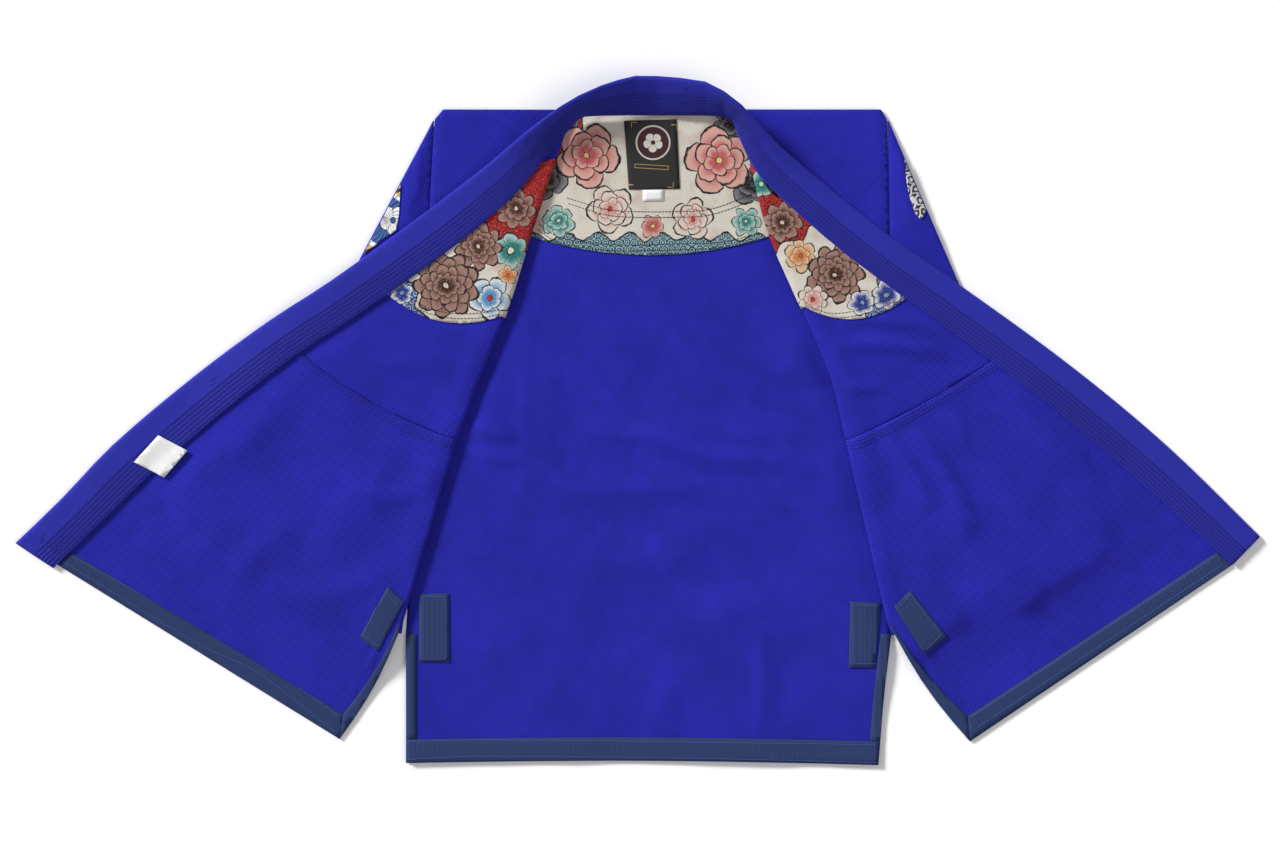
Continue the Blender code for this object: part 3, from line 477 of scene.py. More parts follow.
def place_lift(places, node):
    """The lift of every place of a piece, from the layer that its height puts it in."""
    flat = places[:, :2]
    height = places[:, 2]
    if node.startswith("sleeve") or node.startswith("badge"):
        return crease_lift(flat, SLEEVE_CREASES) * smooth((height - 2) / 4)
    from_turn = np.minimum(line_distance(flat, TURNS[0])[0], line_distance(flat, TURNS[1])[0])
    clear = smooth(from_turn / TURN_FADE) * smooth((line_distance(flat, BAND_INNER)[0] - 3) / BAND_FADE)
    if node in ON_BACK:
        top = smooth((height - 0.4) / 1.2)
        return (crease_lift(flat, BODY_CREASES) + swell_lift(flat)) * clear * top
    turned = smooth((height - FLAP_FROM) / FLAP_BLEND)
    lift = (crease_lift(flat, FLAP_CREASES) + swell_lift(flat)) * clear
    if node.startswith("skirt"):
        from_seam = np.minimum(line_distance(flat, SEAMS[0])[0], line_distance(flat, SEAMS[1])[0])
        ridge = 1 - smooth((from_seam - FELL_WIDTH) / FELL_EDGE)
        lift += FELL_HEIGHT * ridge * smooth(from_turn / FELL_FADE)
    return lift * turned


def mesh_places(data):
    places = np.empty(len(data.vertices) * 3)
    data.vertices.foreach_get("co", places)
    return places.reshape(-1, 3)


def set_places(data, places):
    data.vertices.foreach_set("co", places.astype(np.float32).ravel())
    data.update()


def ease_heights(data, passes):
    """Eases facets in height alone. Near neighbours count most, so that an even slope stays even."""
    places = mesh_places(data)
    count = len(places)
    ends = np.empty(len(data.edges) * 2, np.int32)
    data.edges.foreach_get("vertices", ends)
    first, second = ends.reshape(-1, 2).T
    weight = 1 / np.maximum(np.linalg.norm(places[first] - places[second], axis=1), 0.02 * MM)
    total = np.bincount(first, weight, count) + np.bincount(second, weight, count)
    for _ in range(passes):
        height = places[:, 2]
        pull = np.bincount(first, weight * height[second], count)
        pull += np.bincount(second, weight * height[first], count)
        places[:, 2] = (height + pull / total) / 2
    set_places(data, places)


def cut_copy(cloth, ease):
    """A copy of a solid's mesh cut into small cells along its grain, its facets eased in height."""
    mesh = bmesh.new()
    mesh.from_mesh(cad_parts[cloth.node].data)
    bmesh.ops.remove_doubles(mesh, verts=mesh.verts, dist=1e-6)
    bmesh.ops.join_triangles(
        mesh, faces=mesh.faces, angle_face_threshold=math.radians(2), angle_shape_threshold=math.pi
    )
    turn = math.radians(cloth.grain)
    for normal in (Vector((math.cos(turn), math.sin(turn), 0)), Vector((-math.sin(turn), math.cos(turn), 0))):
        reach = [vertex.co.dot(normal) for vertex in mesh.verts]
        low, high = min(reach), max(reach)
        count = max(int((high - low) / (cloth.cell * MM)), 1)
        for i in range(1, count):
            bmesh.ops.bisect_plane(
                mesh,
                geom=mesh.verts[:] + mesh.edges[:] + mesh.faces[:],
                plane_co=normal * mix(low, high, i / count),
                plane_no=normal,
                dist=1e-6,
            )
    data = bpy.data.meshes.new(cloth.node)
    mesh.to_mesh(data)
    mesh.free()
    ease_heights(data, ease)
    data.materials.clear()
    data.shade_smooth()
    made = bpy.data.objects.new(f"{cloth.node}_cloth", data)
    bpy.context.scene.collection.objects.link(made)
    return made


def make_cloth(cloth, material, crease_share, ease=3):
    """One piece of cloth: cut, lifted by the creases that run under and through it, given its material and
    attached to the body.
    """
    made = cut_copy(cloth, ease)
    places = mesh_places(made.data)
    places[:, 2] += (place_lift(places / MM, cloth.node) * crease_share + cloth.rise) * MM
    set_places(made.data, places)
    made.data.materials.append(material)
    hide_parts(cloth.node)
    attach(made, BODY)
    return made


class NodeWork:
    """Builds a node tree one node at a time, each next to the last."""

    def __init__(self, tree):
        self.tree = tree
        self.count = 0

    def node(self, kind, **settings):
        made = self.tree.nodes.new(kind)
        self.count += 1
        made.location = (-220 * (self.count // 8) - 300, 500 - 190 * (self.count % 8))
        for key, value in settings.items():
            setattr(made, key, value)
        return made

    def feed(self, socket, value):
        if isinstance(value, bpy.types.NodeSocket):
            self.tree.links.new(value, socket)
        elif isinstance(value, tuple) and len(value) == 3 and socket.type == "RGBA":
            socket.default_value = (*value, 1.0)
        else:
            socket.default_value = value

    def math(self, operation, first, second=None, third=None):
        made = self.node("ShaderNodeMath", operation=operation)
        for socket, value in zip(made.inputs, (first, second, third)):
            if value is not None:
                self.feed(socket, value)
        return made.outputs[0]

    # Short names for the operations that the patterns use most
    times = partialmethod(math, "MULTIPLY")
    times_plus = partialmethod(math, "MULTIPLY_ADD")
    plus = partialmethod(math, "ADD")
    minus = partialmethod(math, "SUBTRACT")
    size = partialmethod(math, "ABSOLUTE")
    below = partialmethod(math, "LESS_THAN")
    above = partialmethod(math, "GREATER_THAN")
    wave = partialmethod(math, "SINE")

    def ramp(self, value, start, end):
        """0 before start, 1 after end, and smooth between them."""
        made = self.node("ShaderNodeMapRange", interpolation_type="SMOOTHSTEP")
        self.feed(made.inputs["Value"], value)
        made.inputs["From Min"].default_value = start
        made.inputs["From Max"].default_value = end
        return made.outputs["Result"]

    def noise(self, vector, scale, detail=2.0):
        made = self.node("ShaderNodeTexNoise")
        self.tree.links.new(vector, made.inputs["Vector"])
        made.inputs["Scale"].default_value = scale
        made.inputs["Detail"].default_value = detail
        return made.outputs["Fac"]

    def blend(self, share, first, second):
        made = self.node("ShaderNodeMix", data_type="RGBA")
        colours = [socket for socket in made.inputs if socket.type == "RGBA"]
        self.feed(made.inputs["Factor"], share)
        self.feed(colours[0], first)
        self.feed(colours[1], second)
        return next(socket for socket in made.outputs if socket.type == "RGBA")

    def split(self, vector):
        made = self.node("ShaderNodeSeparateXYZ")
        self.tree.links.new(vector, made.inputs[0])
        return made.outputs

    def far(self, x, y):
        """Distance of a place from the middle of its pattern."""
        square = self.times(y, y)
        return self.math("SQRT", self.times_plus(x, x, square))

    def stripes(self, value, pitch):
        return self.wave(self.times(value, 2 * math.pi / pitch))


class Shader(NodeWork):
    """A procedural material with one surface shader."""

    def __init__(self, name, colour, roughness, gloss=0.2):
        self.material = bpy.data.materials.new(name)
        self.material.use_nodes = True
        self.material.diffuse_color = (*colour, 1.0)
        super().__init__(self.material.node_tree)
        self.surface = self.tree.nodes["Principled BSDF"]
        self.surface.inputs["Base Color"].default_value = (*colour, 1.0)
        self.surface.inputs["Roughness"].default_value = roughness
        self.surface.inputs["Specular IOR Level"].default_value = gloss

    def place(self, centre=(0, 0), turn=0.0, unit=1.0):
        """Object coordinates from a centre and turned about the vertical, in millimetres or units."""
        source = self.node("ShaderNodeTexCoord")
        mapping = self.node("ShaderNodeMapping", vector_type="TEXTURE")
        mapping.inputs["Location"].default_value = (centre[0] * MM, centre[1] * MM, 0)
        mapping.inputs["Rotation"].default_value = (0, 0, math.radians(turn))
        mapping.inputs["Scale"].default_value = (unit * MM, unit * MM, unit * MM)
        self.tree.links.new(source.outputs["Object"], mapping.inputs["Vector"])
        return mapping.outputs[0]

    def own_place(self, name):
        """The piece's own place attribute, for a pattern that follows it."""
        source = self.node("ShaderNodeAttribute", attribute_name=name)
        return source.outputs["Vector"]

    def sheen(self, weight, tint):
        self.surface.inputs["Sheen Weight"].default_value = weight
        self.surface.inputs["Sheen Roughness"].default_value = 0.5
        self.surface.inputs["Sheen Tint"].default_value = (*tint, 1.0)

    def finish(self, colour, height, distance):
        made = self.node("ShaderNodeBump")
        made.inputs["Distance"].default_value = distance * MM
        self.tree.links.new(height, made.inputs["Height"])
        self.tree.links.new(made.outputs[0], self.surface.inputs["Normal"])
        self.tree.links.new(colour, self.surface.inputs["Base Color"])
        return self.material


def pearl_weave(name, colour, turn, pitch):
    """Pearl weave: staggered round bumps in diagonal rows with painted shade between them, a slow change of
    tone and fine yarn.
    """
    work = Shader(name, colour, 0.88, 0.16)
    x, y, _ = work.split(work.place(turn=turn, unit=pitch / MM / (2 * math.pi)))
    place = work.place()
    pearls = work.times(work.math("COSINE", x), work.math("COSINE", y))
    pearls = work.times_plus(pearls, 0.5, 0.5)
    yarn = work.noise(place, 1.3, 3)
    cloud = work.noise(place, 0.012, 3)
    fade = work.noise(place, 0.05, 2)
    height = work.times_plus(yarn, 0.35, pearls)
    # Partly painted shade and highlight: the tone follows the pearls, lighter on their tops and darker
    # between them; cloud and fade change it at random.
    tone = work.times_plus(pearls, 0.50, work.times(cloud, 0.36))
    tone = work.times_plus(fade, 0.22, tone)
    tinted = work.blend(work.ramp(tone, 0.15, 1.0), shade(colour, 0.58), shade(colour, 1.42))
    work.sheen(0.06, (0.35, 0.36, 1.0))
    return work.finish(tinted, height, 0.42)


def band_twill(name, colour):
    """Twill that follows the band, quilted by its rows of sewing with painted shade on its ribs and in its
    furrows, and a little paler at its edges.
    """
    work = Shader(name, colour, 0.82, 0.22)
    along, across, _ = work.split(work.own_place("band_place"))
    place = work.place()
    rib = work.times_plus(work.stripes(work.plus(along, across), 1.7), 0.5, 0.5)
    furrow = None
    for row in BAND_STITCH_ROWS:
        gap = work.size(work.minus(across, row))
        near = work.minus(1.0, work.ramp(gap, 0.4, 1.9))
        furrow = near if furrow is None else work.math("MAXIMUM", furrow, near)
    yarn = work.noise(place, 1.1, 3)
    cloud = work.noise(place, 0.02, 3)
    height = work.times_plus(rib, 0.18, work.times(yarn, 0.18))
    height = work.minus(height, work.times(furrow, 0.9))
    # Partly painted shade and highlight: the tone follows the twill's ribs; the cloud changes it at random.
    tone = work.times_plus(rib, 0.35, work.times(cloud, 0.55))
    tinted = work.blend(tone, shade(colour, 0.72), shade(colour, 1.38))
    # Paler towards either edge, over its last 2.5 mm.
    edge = work.size(work.minus(across, BAND_WIDTH / 2))
    pale_edge = work.times(work.ramp(edge, 27.0, 29.5), 0.35)
    tinted = work.blend(pale_edge, tinted, shade(colour, 1.7))
    # Painted shade: the furrows along the rows of sewing are darkened.
    tinted = work.blend(work.times(furrow, 0.62), tinted, shade(colour, 0.42))
    work.sheen(0.05, (0.4, 0.42, 1.0))
    return work.finish(tinted, height, 0.9)


def tape_twill(name, colour, turn):
    """Close herringbone tape, with painted shade on its ribs."""
    work = Shader(name, colour, 0.75, 0.25)
    place = work.place(turn=turn)
    x, y, _ = work.split(place)
    side = work.math("PINGPONG", x, 3.0)
    rib = work.times_plus(work.stripes(work.plus(side, y), 1.5), 0.5, 0.5)
    yarn = work.noise(place, 0.9, 3)
    # Partly painted shade and highlight: the tone follows the ribs; the yarn noise changes it at random.
    tone = work.times_plus(rib, 0.45, work.times(yarn, 0.5))
    tinted = work.blend(tone, shade(colour, 0.7), shade(colour, 1.35))
    work.sheen(0.05, (0.5, 0.6, 1.0))
    return work.finish(tinted, work.times_plus(yarn, 0.5, rib), 0.25)


def thread(name, colour):
    """Twisted sewing thread."""
    work = Shader(name, colour, 0.6, 0.35)
    twist = work.noise(work.place(), 2.4, 2)
    tinted = work.blend(twist, shade(colour, 0.65), shade(colour, 1.4))
    return work.finish(tinted, twist, 0.15)


def flower_group():
    """One printed flower over whatever is under it: ringed petals with ink outlines and a heart."""
    tree = bpy.data.node_groups.new("printed_flower", "ShaderNodeTree")
    for name, kind in (
        ("Under", "NodeSocketColor"), ("X", "NodeSocketFloat"), ("Y", "NodeSocketFloat"),
        ("Radius", "NodeSocketFloat"), ("Half petals", "NodeSocketFloat"), ("Turn", "NodeSocketFloat"),
        ("Petal", "NodeSocketColor"), ("Rim", "NodeSocketColor"), ("Heart", "NodeSocketColor"),
    ):
        tree.interface.new_socket(name, in_out="INPUT", socket_type=kind)
    tree.interface.new_socket("Colour", in_out="OUTPUT", socket_type="NodeSocketColor")
    work = NodeWork(tree)
    given = work.node("NodeGroupInput").outputs
    x, y = given["X"], given["Y"]
    reach = work.math("DIVIDE", work.far(x, y), given["Radius"])
    angle = work.plus(work.math("ARCTAN2", y, x), given["Turn"])
    lobe = work.size(work.math("COSINE", work.times(angle, given["Half petals"])))
    edge = work.times_plus(work.math("POWER", lobe, 0.55), 0.36, 0.64)
    share = work.math("DIVIDE", reach, edge)
    petal = work.blend(work.ramp(share, 0.45, 0.9), given["Petal"], given["Rim"])
    filled = work.blend(work.below(reach, 0.17), petal, given["Heart"])
    rim_ink = work.ramp(share, 0.90, 0.95)
    parting = work.minus(1.0, work.ramp(lobe, 0.04, 0.16))
    parting = work.times(parting, work.above(reach, 0.17))
    ring = work.below(work.size(work.minus(reach, 0.19)), 0.025)
    ink = work.math("MAXIMUM", work.math("MAXIMUM", rim_ink, parting), ring)
    drawn = work.blend(ink, filled, INK)
    shown = work.blend(work.below(share, 1.0), given["Under"], drawn)
    out = work.node("NodeGroupOutput")
    tree.links.new(shown, out.inputs["Colour"])
    return tree


def add_flower(work, under, x, y, middle, radius, petals, turn, colours):
    """Lays one printed flower over a colour and gives the new colour."""
    made = work.node("ShaderNodeGroup")
    made.node_tree = bpy.data.node_groups.get("printed_flower") or flower_group()
    work.feed(made.inputs["Under"], under)
    work.feed(made.inputs["X"], work.minus(x, middle[0]))
    work.feed(made.inputs["Y"], work.minus(y, middle[1]))
    for name, value in (("Radius", radius), ("Half petals", petals / 2), ("Turn", turn)):
        made.inputs[name].default_value = value
    for name, value in zip(("Petal", "Rim", "Heart"), colours):
        made.inputs[name].default_value = (*value, 1.0)
    return made.outputs["Colour"]


def printed_lining(node):
    """Printed cotton: cream ground, wavy areas of ringed scales, then flowers with inked petals."""
    work = Shader(f"printed_lining_{node}", CREAM, 0.85, 0.2)
    place = work.place()
    plain_x, plain_y, _ = work.split(place)
    wander_x = work.times(work.minus(work.noise(place, 0.06, 2), 0.5), 9.0)
    wander_y = work.times(work.minus(work.noise(place, 0.075, 2), 0.5), 9.0)
    x, y = work.plus(plain_x, wander_x), work.plus(plain_y, wander_y)
    wash = work.noise(place, 0.035, 3)
    colour = work.blend(work.ramp(wash, 0.45, 0.75), CREAM, (0.66, 0.50, 0.42))
    scale_x = work.minus(work.math("PINGPONG", x, 9.0), 4.5)
    scale_y = work.minus(work.math("PINGPONG", y, 9.0), 4.5)
    rings = work.wave(work.times(work.far(scale_x, scale_y), 2.6))
    rings = work.ramp(rings, 0.1, 0.6)
    areas, flowers = LINING_PRINT[node]
    for area in areas:
        leaning = work.times_plus(y, area.along_y, work.times(x, area.along_x))
        sideways = work.times_plus(x, area.along_y, work.times(y, -area.along_x))
        wave = work.times(work.wave(work.times(sideways, 0.16)), 5.0)
        past = work.plus(work.minus(leaning, area.past), wave)
        filled = work.blend(rings, area.colour, area.lines)
        edge = work.minus(1.0, work.ramp(work.size(past), 0.8, 1.5))
        colour = work.blend(work.above(past, 0.0), colour, filled)
        colour = work.blend(edge, colour, INK)
    for flower in flowers:
        for ring in range(flower.rings):
            radius = flower.radius * (1 - ring * 0.8 / flower.rings)
            turn = flower.turn + ring * 0.35
            middle = (flower.x, flower.y)
            colour = add_flower(work, colour, x, y, middle, radius, flower.petals, turn, flower.colours)
    stroke = work.noise(place, 0.45, 4)
    stroke = work.times(work.ramp(stroke, 0.5, 0.8), 0.45)
    colour = work.blend(stroke, colour, (0.62, 0.46, 0.40))
    weave = work.times(work.stripes(plain_x, 0.9), work.stripes(plain_y, 0.9))
    height = work.times_plus(weave, 0.3, work.noise(place, 0.09, 3))
    return work.finish(colour, height, 0.9)


def neck_label():
    """Woven black label with gold corners, a plain ringed flower and an empty gold bar."""
    work = Shader("black_label", (0.012, 0.012, 0.014), 0.55, 0.4)
    x, y, _ = work.split(work.place(LABEL_CENTRE, LABEL_TURN))
    wide, tall = work.size(x), work.size(y)
    colour = work.blend(work.noise(work.place(), 1.2, 3), (0.008, 0.008, 0.009), (0.022, 0.021, 0.022))
    gold = (0.50, 0.33, 0.10)
    across = work.math("DIVIDE", wide, LABEL_HALF[0])
    along = work.math("DIVIDE", tall, LABEL_HALF[1])
    reach = work.math("MAXIMUM", across, along)
    border = work.below(work.size(work.minus(reach, 0.965)), 0.012)
    corner = work.times(work.above(wide, 21.0), work.above(tall, 32.0))
    colour = work.blend(work.times(border, corner), colour, gold)
    round_reach = work.far(x, work.minus(y, LABEL_FLOWER_Y))
    colour = work.blend(work.below(round_reach, 21.5), colour, (0.60, 0.56, 0.48))
    colour = work.blend(work.below(round_reach, 19.5), colour, (0.045, 0.006, 0.012))
    cream = ((0.66, 0.62, 0.54), (0.70, 0.66, 0.58), (0.045, 0.006, 0.012))
    colour = add_flower(work, colour, x, y, (0.0, LABEL_FLOWER_Y), 13.0, 5, math.pi / 10, cream)
    bar_height = work.size(work.plus(y, LABEL_BAR_Y))
    for half_width, half_height, tone in ((21.0, 2.6, gold), (20.3, 1.9, (0.012, 0.012, 0.013))):
        inside = work.times(work.below(wide, half_width), work.below(bar_height, half_height))
        colour = work.blend(inside, colour, tone)
    return work.finish(colour, work.stripes(y, 0.7), 0.12)


def white_label(name):
    """Bare white woven label, a little uneven."""
    work = Shader(name, (0.80, 0.80, 0.79), 0.6, 0.3)
    place = work.place()
    x, y, _ = work.split(place)
    tone = work.noise(place, 0.08, 3)
    colour = work.blend(tone, (0.72, 0.72, 0.72), (0.86, 0.86, 0.85))
    ribs = work.stripes(work.plus(x, y), 0.8)
    return work.finish(colour, work.times_plus(ribs, 0.2, tone), 0.15)


def badge_ring():
    """Round embroidered badge: roped gold rim, white ring, blue field and a plain white flower."""
    work = Shader("gold_thread", (0.60, 0.42, 0.12), 0.5, 0.4)
    x, y, _ = work.split(work.place(BADGE_LEFT_CENTRE))
    wide = work.math("DIVIDE", x, 0.86)
    reach = work.far(wide, y)
    angle = work.math("ARCTAN2", y, wide)
    rope = work.wave(work.times_plus(angle, 26.0, work.times(reach, 0.5)))
    colour = work.blend(work.ramp(rope, -0.2, 0.5), (0.02, 0.016, 0.012), (0.62, 0.42, 0.11))
    rim, ring, field = (0.62, 0.42, 0.11), (0.75, 0.75, 0.73), (0.018, 0.075, 0.26)
    for radius, tone in ((38.0, rim), (36.0, ring), (31.0, field)):
        colour = work.blend(work.below(reach, radius), colour, tone)
    white = ((0.76, 0.77, 0.78), (0.80, 0.80, 0.80), (0.018, 0.075, 0.26))
    colour = add_flower(work, colour, wide, y, (12.0, 0.0), 20.0, 5, 0.3, white)
    floss = work.wave(work.times_plus(x, 7.0, work.times(y, 2.0)))
    work.sheen(0.1, (1.0, 1.0, 1.0))
    return work.finish(colour, work.times_plus(floss, 0.25, rope), 0.5)


def badge_cloud():
    """Embroidered cloud curls in black, grey and white floss."""
    work = Shader("grey_thread", (0.4, 0.4, 0.42), 0.55, 0.35)
    place = work.place(BADGE_RIGHT_CENTRE, 20)
    x, y, _ = work.split(place)
    wander = work.times(work.noise(place, 0.07, 2), 14.0)
    curl_x = work.minus(work.math("PINGPONG", work.plus(x, wander), 13.0), 6.5)
    curl_y = work.minus(work.math("PINGPONG", work.plus(y, wander), 15.0), 7.5)
    curls = work.wave(work.times(work.far(curl_x, curl_y), 1.25))
    colour = work.blend(work.ramp(curls, -0.5, 0.0), (0.03, 0.03, 0.035), (0.30, 0.31, 0.33))
    colour = work.blend(work.ramp(curls, 0.25, 0.6), colour, (0.80, 0.80, 0.81))
    floss = work.wave(work.times_plus(x, 5.0, work.times(y, 5.0)))
    work.sheen(0.1, (1.0, 1.0, 1.0))
    return work.finish(colour, work.times_plus(floss, 0.25, curls), 0.5)


def band_own_place(made):
    """Gives each point of the band its place along and across it, in millimetres."""
    flat = mesh_places(made.data)[:, :2] / MM
    inner, _ = line_distance(flat, BAND_INNER)
    outer, _ = line_distance(flat, BAND_OUTER)
    _, share = line_distance(flat, BAND_MIDDLE)
    length = np.linalg.norm(np.diff(BAND_MIDDLE, axis=0), axis=1).sum()
    values = np.zeros((len(flat), 3), np.float32)
    values[:, 0] = share * length
    values[:, 1] = BAND_WIDTH * inner / np.maximum(inner + outer, 1e-6)
    own = made.data.attributes.new("band_place", "FLOAT_VECTOR", "POINT")
    own.data.foreach_set("vector", values.ravel())


def stitch_shape(length):
    """One stitch, modelled once: a six-sided thread with pointed ends, along X."""
    bpy.ops.object.select_all(action="DESELECT")
    bpy.ops.mesh.primitive_cylinder_add(
        vertices=6,
        radius=THREAD_RADIUS * MM,
        depth=length * 0.6 * MM,
        end_fill_type="TRIFAN",
        rotation=(0, math.pi / 2, 0),
    )
    made = bpy.context.object
    bpy.ops.object.transform_apply(location=True, rotation=True, scale=True)
    bpy.ops.object.mode_set(mode="EDIT")
    bpy.ops.mesh.select_all(action="DESELECT")
    mesh = bmesh.from_edit_mesh(made.data)
    for vertex in mesh.verts:
        vertex.select_set(math.hypot(vertex.co.y, vertex.co.z) < THREAD_RADIUS * MM * 0.2)
    bmesh.update_edit_mesh(made.data)
    bpy.ops.transform.resize(value=(1.45, 1, 1))
    bpy.ops.object.mode_set(mode="OBJECT")
    places = mesh_places(made.data)
    faces = [tuple(face.vertices) for face in made.data.polygons]
    bpy.data.objects.remove(made)
    return places, faces


def surface_of(pieces):
    """What a ray from above meets first on these pieces."""
    places, faces = [], []
    for piece in pieces:
        start = len(places)
        places.extend(tuple(place) for place in mesh_places(piece.data))
        faces.extend(tuple(start + i for i in face.vertices) for face in piece.data.polygons)
    return BVHTree.FromPolygons(places, faces)


def even_places(line, pitch):
    """Places one pitch apart along a line."""
    lengths = np.linalg.norm(np.diff(line, axis=0), axis=1)
    starts = np.concatenate([[0.0], np.cumsum(lengths)])
    count = max(int(starts[-1] / pitch), 1)
    at = (np.arange(count) + 0.5) * starts[-1] / count
    return np.stack([np.interp(at, starts, line[:, i]) for i in range(2)], axis=1)


def sew(name, lines, pitch, pieces, material):
    """Lays stitches one pitch apart along each line, on the pieces below, as one joined mesh."""
    surface = surface_of(pieces)
    shape, shape_faces = stitch_shape(pitch)
    all_places, all_faces = [], []
    start = 0
    for line in lines:
        places = even_places(line, pitch)
        for i, place in enumerate(places):
            ahead = places[min(i + 1, len(places) - 1)] - places[max(i - 1, 0)]
            above = Vector((place[0] * MM, place[1] * MM, RAY_HEIGHT))
            hit, normal, _, _ = surface.ray_cast(above, Vector((0, 0, -1)))
            if hit is None or normal.z < LEAST_UP:
                continue
            along = Vector((ahead[0], ahead[1], 0)).normalized()
            along = (along - normal * along.dot(normal)).normalized()
            turn = np.array([along, normal.cross(along), normal])
            centre = np.array(hit) + np.array(normal) * THREAD_RADIUS * MM * 0.1
            all_places.append(shape @ turn + centre)
            all_faces.extend(tuple(start + corner for corner in face) for face in shape_faces)
            start += len(shape)
    data = bpy.data.meshes.new(name)
    data.from_pydata(np.concatenate(all_places).tolist(), [], all_faces)
    data.shade_smooth()
    data.materials.append(material)
    made = bpy.data.objects.new(name, data)
    bpy.context.scene.collection.objects.link(made)
    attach(made, BODY)


def offset_line(line, distance):
    """A line moved sideways, to the right of its direction."""
    ahead = np.gradient(line, axis=0)
    ahead /= np.linalg.norm(ahead, axis=1)[:, None]
    return line + np.stack([ahead[:, 1], -ahead[:, 0]], axis=1) * distance


def cloth_named(node):
    return bpy.data.objects[f"{node}_cloth"]


class JACKET_OT_shell(bpy.types.Operator):
    """Back, sleeves, fronts and skirts in pearl weave, with their creases"""

    bl_idname = "jacket.shell"
    bl_label = "Shell"

    def execute(self, context):
        look = context.scene.jacket_look
        for cloth in SHELL:
            name = f"pearl_weave_{cloth.node}"
            material = pearl_weave(name, tuple(look.cloth), cloth.grain, look.weave_pitch)
            make_cloth(cloth, material, look.crease)
        return {"FINISHED"}


class JACKET_OT_band(bpy.types.Operator):
    """Lapel band from foot to foot, quilted along its inner half"""

    bl_idname = "jacket.band"
    bl_label = "Lapel band"

    def execute(self, context):
        look = context.scene.jacket_look
        made = make_cloth(BAND, band_twill("band_twill", tuple(look.band)), 0.0, 2)
        band_own_place(made)
        return {"FINISHED"}


class JACKET_OT_lining(bpy.types.Operator):
    """Printed lining of the back yoke and both front yokes"""

    bl_idname = "jacket.lining"
    bl_label = "Printed lining"

    def execute(self, context):
        look = context.scene.jacket_look
        for cloth in LINING:
            make_cloth(cloth, printed_lining(cloth.node), look.crease)
        return {"FINISHED"}


class JACKET_OT_tapes(bpy.types.Operator):
    """Navy tapes round the hems and slits, and the patches at the slits' tops"""

    bl_idname = "jacket.tapes"
    bl_label = "Tapes"

    def execute(self, context):
        look = context.scene.jacket_look
        for cloth in TAPES:
            material = tape_twill(f"navy_tape_{cloth.node}", tuple(look.tape), cloth.grain)
            make_cloth(cloth, material, look.crease)
        return {"FINISHED"}


class JACKET_OT_labels(bpy.types.Operator):
    """Neck label, size tab and care label"""

    bl_idname = "jacket.labels"
    bl_label = "Labels"

    def execute(self, context):
        look = context.scene.jacket_look
        for cloth in LABELS:
            black = cloth.node == "label"
            material = neck_label() if black else white_label(f"white_label_{cloth.node}")
            make_cloth(cloth, material, look.crease, 1)
        return {"FINISHED"}


class JACKET_OT_badges(bpy.types.Operator):
    """Embroidered badges on the sleeves"""

    bl_idname = "jacket.badges"
    bl_label = "Badges"

    def execute(self, context):
        look = context.scene.jacket_look
        make_cloth(BADGES[0], badge_ring(), look.crease, 1)
        make_cloth(BADGES[1], badge_cloud(), look.crease, 1)
        return {"FINISHED"}


class JACKET_OT_sewing(bpy.types.Operator):
    """Rows of stitches on the band, seams, hems, patches, lining and armholes"""

    bl_idname = "jacket.sewing"
    bl_label = "Sewing"

    def execute(self, context):
        look = context.scene.jacket_look
        blue = thread("band_thread", shade(tuple(look.band), 0.8))
        dark = thread("seam_thread", shade(tuple(look.cloth), 0.45))
        navy = thread("tape_thread", shade(tuple(look.tape), 2.4))
        black = thread("lining_thread", (0.02, 0.02, 0.022))
        rows = [mix(BAND_INNER, BAND_OUTER, across / BAND_WIDTH)[1:-1] for across in BAND_STITCH_ROWS]
        sew("band_stitches", rows, 4.2, [cloth_named("lapel_band")], blue)
        fell = [offset_line(line, row) for line in (SEAMS[0], SEAMS[1][::-1]) for row in FELL_ROWS]
        skirts = [cloth_named("skirt_left"), cloth_named("skirt_right")]
        sew("seam_stitches", fell, 4.0, skirts, dark)
        for group, chosen, pitch, material, slot in (
            ("hem", HEM_RUNS, 4.0, navy, "navy_tape"),
            ("box", BOX_RUNS, 3.2, navy, "navy_tape"),
            ("armhole", ARMHOLE_RUNS, 4.0, dark, "pearl_weave"),
            ("lining", LINING_RUNS, 4.2, black, "printed_lining"),
            ("tack", TACK_RUNS, 1.2, dark, "band_twill"),
        ):
            pieces = [cloth_named(node) for node in sorted({run.node for run in chosen})]
            cornered = group in ("box", "tack")
            lines = [
                np.array(run.points, float) if cornered else smooth_line(run.points, 6) for run in chosen
            ]
            sew(f"{group}_stitches", lines, pitch, pieces, material)
        return {"FINISHED"}


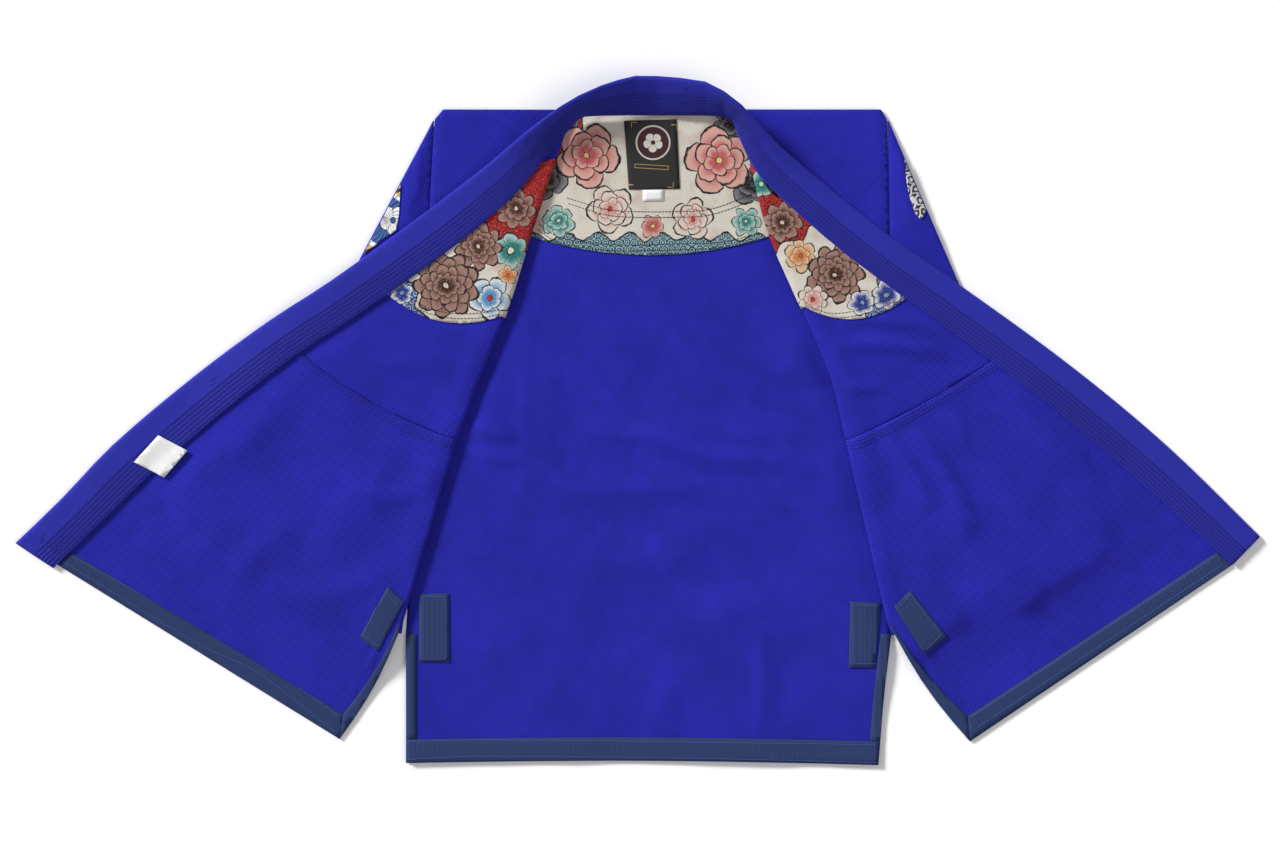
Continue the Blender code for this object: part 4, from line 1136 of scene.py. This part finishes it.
class JACKET_OT_stage(bpy.types.Operator):
    """Pale floor, soft lights and the camera straight above"""

    bl_idname = "jacket.stage"
    bl_label = "Stage"

    def execute(self, context):
        look = context.scene.jacket_stage
        bpy.ops.object.select_all(action="DESELECT")
        bpy.ops.mesh.primitive_plane_add(size=FLOOR_SIZE, location=(0, 0, -FLOOR_GAP))
        floor = context.object
        floor.name = "floor"
        floor.data.materials.append(Shader("floor_paper", tuple(look.floor), 0.9).material)
        world = bpy.data.worlds.new("studio")
        world.use_nodes = True
        background = world.node_tree.nodes["Background"]
        background.inputs["Color"].default_value = (1.0, 1.0, 1.0, 1.0)
        background.inputs["Strength"].default_value = WORLD_LIGHT * look.light
        context.scene.world = world
        for sun in SUNS:
            bpy.ops.object.light_add(type="SUN", location=sun.place)
            lamp = context.object
            lamp.name = sun.name
            lamp.data.angle = math.radians(sun.angle)
            lamp.data.energy = sun.power * look.light
            lamp.rotation_euler = (-Vector(sun.place)).to_track_quat("-Z", "Y").to_euler()
        bpy.ops.object.camera_add(location=(*VIEW_CENTRE, VIEW_WIDTH * look.focal / SENSOR_WIDTH))
        camera = context.object
        camera.name = "camera"
        camera.data.lens = look.focal
        camera.data.clip_end = 60
        context.scene.camera = camera
        context.scene.view_settings.view_transform = "Standard"
        return {"FINISHED"}


class JACKET_PT_pieces(bpy.types.Panel):
    """Lists the pieces of the jacket"""

    bl_idname = "JACKET_PT_pieces"
    bl_label = "Jacket"
    bl_space_type = "VIEW_3D"
    bl_region_type = "UI"
    bl_category = "Jacket"

    def draw(self, context):
        for operator in OPERATORS:
            self.layout.operator(operator.bl_idname)


OPERATORS = (
    JACKET_OT_shell,
    JACKET_OT_band,
    JACKET_OT_lining,
    JACKET_OT_tapes,
    JACKET_OT_labels,
    JACKET_OT_badges,
    JACKET_OT_sewing,
    JACKET_OT_stage,
)
CLASSES = (JacketLook, StageLook, *OPERATORS, JACKET_PT_pieces)


def register():
    for kind in CLASSES:
        bpy.utils.register_class(kind)
    bpy.types.Scene.jacket_look = bpy.props.PointerProperty(type=JacketLook)
    bpy.types.Scene.jacket_stage = bpy.props.PointerProperty(type=StageLook)


def unregister():
    del bpy.types.Scene.jacket_stage
    del bpy.types.Scene.jacket_look
    for kind in reversed(CLASSES):
        bpy.utils.unregister_class(kind)


def main():
    register()
    bpy.ops.jacket.shell()
    bpy.ops.jacket.band()
    bpy.ops.jacket.lining()
    bpy.ops.jacket.tapes()
    bpy.ops.jacket.labels()
    bpy.ops.jacket.badges()
    bpy.ops.jacket.sewing()
    bpy.ops.jacket.stage()


if __name__ == "__main__":
    main()
